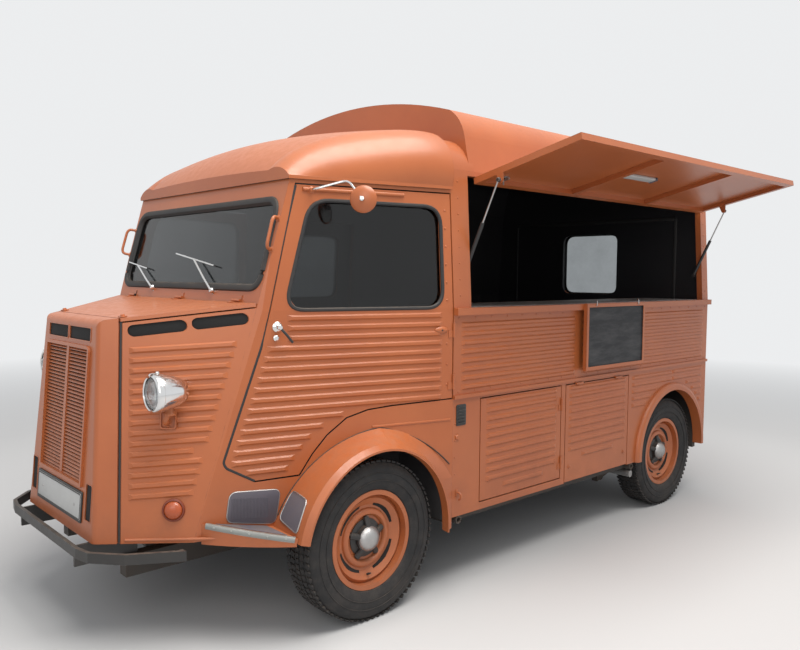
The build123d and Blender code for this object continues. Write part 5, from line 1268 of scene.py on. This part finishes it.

# %% [markdown]
# In the middle of each steel wheel a dark hub carries a five-armed clamp of cast lugs under a
# polished cap. A loop sets a lug and its nut at each fifth of a turn about the hub. Round the
# clamp the steel disc rises in a pressed ring, and outside the ring it touches the rim only
# here and there: the gaps between are painted shade, dark crescent sheets laid on the disc.

# %% Hubs, lugs and caps
LUG_COUNT, GAP_COUNT = 5, 4
hub_outline = [(0, 0), (84, 0), (84, 5), (76, 9), (60, 12), (60, 30), (50, 33), (0, 33)]
nut_outline = [(0, 22), (6, 21), (9, 17), (9, 0), (0, 0)]
cap_outline = [(0, 62), (17, 60), (34, 54), (47, 44), (53, 35), (55, 31), (53, 29), (0, 29)]
ring_outline = [(132, -4), (132, 6), (126, 15), (117, 19), (106, 18), (99, 11), (96, 2), (96, -4)]
valve_outline = [(0, 30), (3, 29), (3.6, 18), (5, 16), (5, 0), (0, 0)]
for name, sign in wheel_sides.items():
    hub, out, body = middle_of("wheel_" + name), SIDE * sign, "roller_" + name
    face = hub + out * 0.014
    base = [lathe(hub_outline, face, out, 48)]
    for k in range(LUG_COUNT):
        spoke = spoke_at(2 * math.pi * k / LUG_COUNT + 0.3)
        lug = [face + spoke * 0.046 + out * 0.026, face + spoke * 0.092 + out * 0.01]
        base.append(wire(lug, 0.011, flat=1.3, flat_way=spoke.cross(out)))
        base.append(lathe(nut_outline, face + spoke * 0.09, out, 6))
    # painted shade: near-black crescent sheets on the disc stand in for the shade in the gaps to the rim
    gap_shades = []
    for k in range(GAP_COUNT):
        turns = [math.pi * (0.25 + 0.5 * k + 0.055 * step) for step in range(-3, 4)]
        inner = [(139 + 1.1 * abs(i - 3), turn) for i, turn in enumerate(turns)]
        outer = [(156 - 1.1 * abs(i - 3), turn) for i, turn in enumerate(turns)]
        outline = [face + out * 0.2 + spoke_at(turn) * (r / 1000) for r, turn in inner + outer[::-1]]
        gap_shades.append(patch("wheel_" + name, outline, -out, 1.2))
    stem = hub + out * 0.03 - UP * 0.162
    placed("hub_" + name, base, "black_enamel", body)
    placed("hub_cap_" + name, lathe(cap_outline, face, out, 40), "bare_steel", body)
    placed("disc_ring_" + name, lathe(ring_outline, face, out, 64), "orange_enamel", body)
    placed("disc_gaps_" + name, gap_shades, "void_black", body)
    placed("valve_" + name, lathe(valve_outline, stem, out + UP * 0.5, 12), "black_rubber", body)
print("hubs with five lugs on all wheels")

# %% [markdown]
# A seat pad is foam in a sewn cover, so it is crowned, its sides pull in and its channels dip
# where the thread goes through. The pad starts as a box a little too small. A short cloth run
# with air pressure swells it, the swelling is capped, and then the sewn channels are pressed in.
# The pads stand on the wheel boxes, and a frame of steel tube holds each back.

# %% Seats
CLOTH_FRAMES = 20


def swollen(mesh, voxel, limit, foot):
    """The block as a soft pad: even faces, blown up by a cloth run, flat where it rests."""
    pad = bpy.data.objects.new("pad", mesh)
    scene.collection.objects.link(pad)
    even = pad.modifiers.new("even", "REMESH")
    even.mode, even.voxel_size = "VOXEL", voxel
    start = evaluated(pad)
    pad.modifiers.remove(even)
    pad.data = start
    before = [v.co.copy() for v in start.vertices]
    after = before
    cloth = pad.modifiers.new("cloth", "CLOTH")
    cloth.settings.use_pressure = True
    cloth.settings.uniform_pressure_force = 4
    cloth.settings.effector_weights.gravity = 0
    cloth.point_cache.frame_end = CLOTH_FRAMES
    for step in range(1, CLOTH_FRAMES + 1):
        scene.frame_set(step)
    blown = pad.evaluated_get(bpy.context.evaluated_depsgraph_get())
    after = [v.co.copy() for v in blown.data.vertices]
    pad.modifiers.remove(cloth)
    scene.frame_set(1)
    for vertex, old, new in zip(start.vertices, before, after):
        move = new - old
        if move.length > limit:
            move = move * (limit / move.length)
        vertex.co = old + move
        vertex.co.z = max(vertex.co.z, foot)
    result = start.copy()
    bpy.data.objects.remove(pad)
    return result


def channelled(mesh, places, width, depth):
    """Sewn channels pressed into a pad at places across the truck."""
    mesh.update()
    normals = [v.normal.copy() for v in mesh.vertices]
    for vertex, normal in zip(mesh.vertices, normals):
        dip = max(math.exp(-(((vertex.co.y - place) / width) ** 2)) for place in places)
        vertex.co -= normal * (dip * depth * (1 - abs(normal.y)))
    return mesh


def smoothed(mesh):
    """The mesh with each face cut in four and its surface evened."""
    fine = bpy.data.objects.new("fine", mesh)
    scene.collection.objects.link(fine)
    subdivide = fine.modifiers.new("smooth", "SUBSURF")
    subdivide.levels = subdivide.render_levels = 1
    result = evaluated(fine)
    bpy.data.objects.remove(fine)
    return result


BOX_TOP = 761
PAD_INNER, PAD_OUTER = 344, 676
seams = [at(0, y, 0).y for y in (410, 470, 550, 610)]
cushion_side = [(-318, 768), (78, 768), (82, 862), (-318, 862)]
back_side = [(-322, 884), (-262, 884), (-328, 1308), (-380, 1308)]
pads = {}
for name, profile, limit, foot in (
        ("seat_cushion", cushion_side, 0.014, at(0, 0, BOX_TOP).z), ("seat_back", back_side, 0.012, -1)):
    block = slab([at(x, PAD_INNER, z) for x, z in profile], SIDE, PAD_OUTER - PAD_INNER, 20)
    pads[name] = channelled(swollen(block, 0.009, limit, foot), seams, 0.007, 0.006)
for name, mesh in pads.items():
    smooth = smoothed(mesh)
    for side, half in (("_left", smooth), ("_right", flipped(smooth))):
        piece = placed(name + side, half, "seat_leather", crease=180)
        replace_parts(piece, "seats")

LEG_X, BEND_Z, HEAD_X, HEAD_Z = -344, 868, -396, 1262
foot = [(0, 0), (20, 0), (20, 3), (9, 5), (9, 14), (0, 14)]
seat_frame = []
for y in (400, 620):
    leg = [at(x, y, z) for x, z in ((LEG_X, BOX_TOP), (LEG_X, BEND_Z), (HEAD_X, HEAD_Z))]
    seat_frame += [wire(leg, 0.008, 10, 0.05), lathe(foot, at(LEG_X, y, BOX_TOP - 0.5), UP, 18)]
for z in (900, 1240):
    x = LEG_X + (z - BEND_Z) * (HEAD_X - LEG_X) / (HEAD_Z - BEND_Z)
    seat_frame.append(wire([at(x, 400, z), at(x, 620, z)], 0.007))
both_sides("seat_frame", seat_frame, "black_enamel")
print("four pads with", len(smooth.polygons), "faces in a back")

# %% [markdown]
# Inside the cab the driver finds few things: one big dial and a row of knobs on the dashboard, a
# thin wheel with a plain horn button, a lever with a ball, and three pedals. They are seen only
# through glass, but a door can be opened, so they are there.

# %% Dashboard, wheel boss, lever and pedals
DASH_NORMAL = Vector((-1, 0, 0.18)).normalized()
DASH_FACE = (SIDE, UP, DASH_NORMAL)
dial = at(266, 400, 1345)
bezel = lathe([(44, -2), (54, -2), (54, 8), (50, 12), (46, 11), (45, 4), (44, -2)], dial, DASH_NORMAL, 40)
placed("dial_bezel", bezel, "bright_chrome")
placed("dial_face", lathe([(0, 2), (45, 2), (45, 0), (0, 0)], dial, DASH_NORMAL, 32), "void_black")
marks = []
for k in range(11):
    turn = math.radians(-40 + 26 * k)
    spoke = Vector((0, math.cos(turn), math.sin(turn)))
    ends = [dial + spoke * reach + DASH_NORMAL * 0.0028 for reach in (0.033, 0.041)]
    marks.append(wire(ends, 0.001, 4))
needle = [dial + DASH_NORMAL * 0.004, dial + Vector((0, 0.02, 0.022)) + DASH_NORMAL * 0.004]
marks.append(wire(needle, 0.0011, 4))
placed("dial_marks", marks, "white_enamel")
knob = [(0, 22), (9, 21), (12, 16), (9, 8), (5, 6), (5, 0), (0, 0)]
knobs = [lathe(knob, at(264, y, 1330), DASH_NORMAL, 20) for y in (300, 255, 210, -60, -105)]
placed("dash_knobs", knobs, "black_rubber")
placed("glove_box_lid", framed(at(269, -330, 1345), DASH_FACE, 300, 70, 5, 3, 10), "black_enamel")

wheel_middle = at(150, 400, 1150)
column_way = (wheel_middle - at(585, 400, 590)).normalized()
boss = [(0, 26), (16, 25), (24, 20), (30, 10), (34, 0), (30, -14), (19, -26), (0, -26)]
placed("wheel_boss", lathe(boss, wheel_middle, column_way, 32), "black_rubber")
lever = [at(262, 250, 1302), at(190, 262, 1290), at(120, 270, 1230)]
placed("gear_lever", wire(lever, 0.007, 10, 0.04), "bare_steel")
ball = [(0, 20), (10, 17), (17, 10), (20, 0), (17, -10), (10, -17), (0, -20)]
placed("gear_knob", lathe(ball, at(118, 270, 1226), column_way, 24), "black_rubber")
pedal_face = (SIDE, Vector((0.5, 0, 0.87)), Vector((-0.87, 0, 0.5)))
pedals = []
for y, width in ((500, 60), (430, 60), (345, 44)):
    pedal = at(556, y, 700)
    pedals.append(plate(pedal, pedal_face, width, 74, 10, 8, 2))
    pedals.append(wire([pedal + FRONT * 0.006, at(600, y, 614)], 0.007))
placed("pedals", pedals, "black_rubber")
print("dial, knobs, lever and pedals")

# %% [markdown]
# The open hatch carries a flat light strip and a small sliding bolt under its skin. Both are
# placed on the hatch's own plane, which rises 13 degrees from level, and ride with the hatch
# when it shuts. The gas struts end in small cups, and each cup rides with its rod.

# %% Fittings on the hatch
HATCH_RISE = math.radians(13)
HATCH_OUT = Vector((0, math.cos(HATCH_RISE), math.sin(HATCH_RISE)))
HATCH_DOWN = Vector((0, math.sin(HATCH_RISE), -math.cos(HATCH_RISE)))
HATCH_FACE = (FRONT, HATCH_OUT, HATCH_DOWN)


def under_hatch(x, y):
    """The place on the hatch's underside straight above a point."""
    return touch("hatch", at(x, y, 1700), UP)[0]


light = under_hatch(-1553, 1216) + HATCH_DOWN * 0.0005
placed("hatch_light", plate(light, HATCH_FACE, 300, 46, 14, 14, 4), "white_enamel", "serving_hatch")
ends = [plate(light + FRONT * x, HATCH_FACE, 14, 52, 5, 17, 3) for x in (-0.155, 0.155)]
placed("hatch_light_ends", ends, "grey_plastic", "serving_hatch")
bolt_spot = under_hatch(-760, 960)
bolt_axis = bolt_spot + HATCH_DOWN * 0.012
bolt = [plate(bolt_spot, HATCH_FACE, 34, 60, 5, 6, 1.5),
        wire([bolt_axis - HATCH_OUT * 0.036, bolt_axis + HATCH_OUT * 0.04], 0.006),
        wire([bolt_axis, bolt_spot + HATCH_DOWN * 0.034], 0.004, 8)]
placed("hatch_bolt", bolt, "bare_steel", "serving_hatch")
EYE_INSET = 0.009
for node, body in (("strut_rod_rear", "rear_strut_rod"), ("strut_rod_front", "front_strut_rod")):
    _, high_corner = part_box(node)
    eye = Vector((middle_of(node).x, high_corner.y - EYE_INSET, high_corner.z - EYE_INSET))
    cup = lathe([(0, 9), (8, 8), (11, 4), (11, -4), (8, -8), (0, -9)], eye, FRONT, 20)
    placed(node + "_eye", cup, "black_enamel", body)
print("light strip and bolt on the hatch")

# %% [markdown]
# The back is seldom photographed but just as complete: a tail lamp on each corner, a handle on
# the tailgate and on the left lower door, a blank plate with its small lamp, and rubber caps on
# the bumper's ends. The right side has the sliding door with its pull and its grip.

# %% Tail lamps, handles and the rear plate


def on_rear(y, z, proud=0):
    """A place on the flat rear end."""
    return at(REAR_X - proud, y, z)


both_sides("tail_lamp_base", plate(on_rear(800, 640), TAIL_FACE, 92, 168, 14, 10, 3), "black_enamel")
both_sides("tail_lamp_red", plate(on_rear(800, 604, 9), TAIL_FACE, 78, 82, 16, 22, 6), "red_plastic")
both_sides("tail_lamp_amber", plate(on_rear(800, 686, 9), TAIL_FACE, 78, 62, 16, 20, 6), "amber_plastic")
reflector = lathe([(0, 8), (22, 7), (27, 3), (27, 0), (0, 0)], on_rear(800, 500), REAR, 32)
both_sides("rear_reflector", reflector, "red_plastic")

gate_rose = [(0, 0), (24, 0), (24, 4), (14, 7), (10, 10), (10, 26), (0, 26)]
gate_bar = wire([on_rear(-52, 1226, 30), on_rear(52, 1226, 30)], 0.008, 12)
gate_handle = [lathe(gate_rose, on_rear(0, 1226), REAR, 28), gate_bar]
placed("tailgate_handle", gate_handle, "bright_chrome", "tail_lid")
leaf_rose = [(0, 0), (22, 0), (22, 4), (13, 7), (9, 10), (9, 24), (0, 24)]
leaf_bar = wire([on_rear(44, 1130, 28), on_rear(52, 1046, 34)], 0.007, 12)
leaf_handle = [lathe(leaf_rose, on_rear(44, 1124), REAR, 28), leaf_bar]
placed("rear_door_handle", leaf_handle, "bright_chrome", "rear_leaf_left")

PLATE_Y, REAR_PLATE_Z = 360, 780
holder = plate(on_rear(PLATE_Y, REAR_PLATE_Z, 8), TAIL_FACE, 300, 180, 10, 4, 1.2)
placed("rear_plate_holder", holder, "black_enamel", "rear_leaf_left")
blank = plate(on_rear(PLATE_Y, REAR_PLATE_Z, 12), TAIL_FACE, 280, 160, 8, 1.6, 0.6)
placed("rear_blank_plate", blank, "white_enamel", "rear_leaf_left")
stand = [(0, 0), (8, 0), (8, 9), (0, 9)]
stands = [lathe(stand, on_rear(y, z), REAR, 16) for y in (250, 470) for z in (716, 842)]
plate_lamp = plate(on_rear(PLATE_Y, 890), TAIL_FACE, 90, 26, 8, 26, 5)
placed("rear_plate_lamp", stands + [plate_lamp], "bright_chrome", "rear_leaf_left")

RAIL_X, RAIL_Y, RAIL_TOP = -2957, 701, 1900
foot_left, head_left, foot_right, head_right = (
    at(RAIL_X, y, z) for y in (-RAIL_Y, RAIL_Y) for z in (362, RAIL_TOP))
rails = ((foot_left, head_left, SIDE), (foot_right, head_right, SIDE), (head_left, head_right, UP))
strips = [wire([start, end], 0.007, 8, flat=1.7, flat_way=way) for start, end, way in rails]
placed("rear_weather_strip", strips, "black_rubber")
bar_low, bar_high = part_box("rear_bumper")
bar_middle = middle_of("rear_bumper")
caps = [plate(Vector((bar_middle.x, y, bar_middle.z)), face, 48, 60, 8, 8, 2.5)
        for y, face in ((bar_high.y, WALL_FACE), (bar_low.y, RIGHT_FACE))]
placed("bumper_caps", caps, "black_rubber")
rear_screws = [rivets(on_rear(y, 400), on_rear(y, 1330), 12, REAR, 4.5, 2.2) for y in (-870, 870)]
placed("rear_screws", rear_screws, "orange_enamel")

SLIDER_Y = -(HALF_WIDTH + 14 + 32)
pull = framed(at(-590, SLIDER_Y, 1200), RIGHT_FACE, 66, 96, 10, 5, 12)
dish = plate(at(-590, SLIDER_Y + 0.5, 1200), RIGHT_FACE, 80, 110, 14, 1.6, 0.5)
placed("slider_pull", [pull, dish], "black_enamel", "side_slider")
grip = [at(-606, SLIDER_Y - out, z) for out, z in ((0, 1236), (17, 1230), (17, 1170), (0, 1164))]
placed("slider_grip", wire(grip, 0.005, 12, 0.01), "bright_chrome", "side_slider")
print("rear lamps, handles, blank plate and the sliding door's grip")

# %% [markdown]
# Inside the load space the walls are painted near-black as shade, and flat joint strips stand on
# the wall that faces the counter. On the counter lies a steel sheet, dull from dishes,
# which stops short of the edges, as a fitter would cut it.

# %% Lining joints and counter sheet
LINING_TOP = 1325
joints = [plate(at(x, -888.5, (foot + LINING_TOP) / 2), WALL_FACE, 34, LINING_TOP - foot, 3, 2.5, 0.8)
          for x, foot in ((-1560, 400), (-2130, 805), (-2700, 400))]
placed("lining_joints", joints, "black_enamel")
_, counter_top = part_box("counter")
sheet_middle = Vector((middle_of("counter").x, at(0, 722, 0).y, counter_top.z + 0.0003))
placed("counter_sheet", plate(sheet_middle, LEVEL_FACE, 2300, 380, 10, 1.4, 0.5), "bare_steel")
print("lining joints and counter sheet")
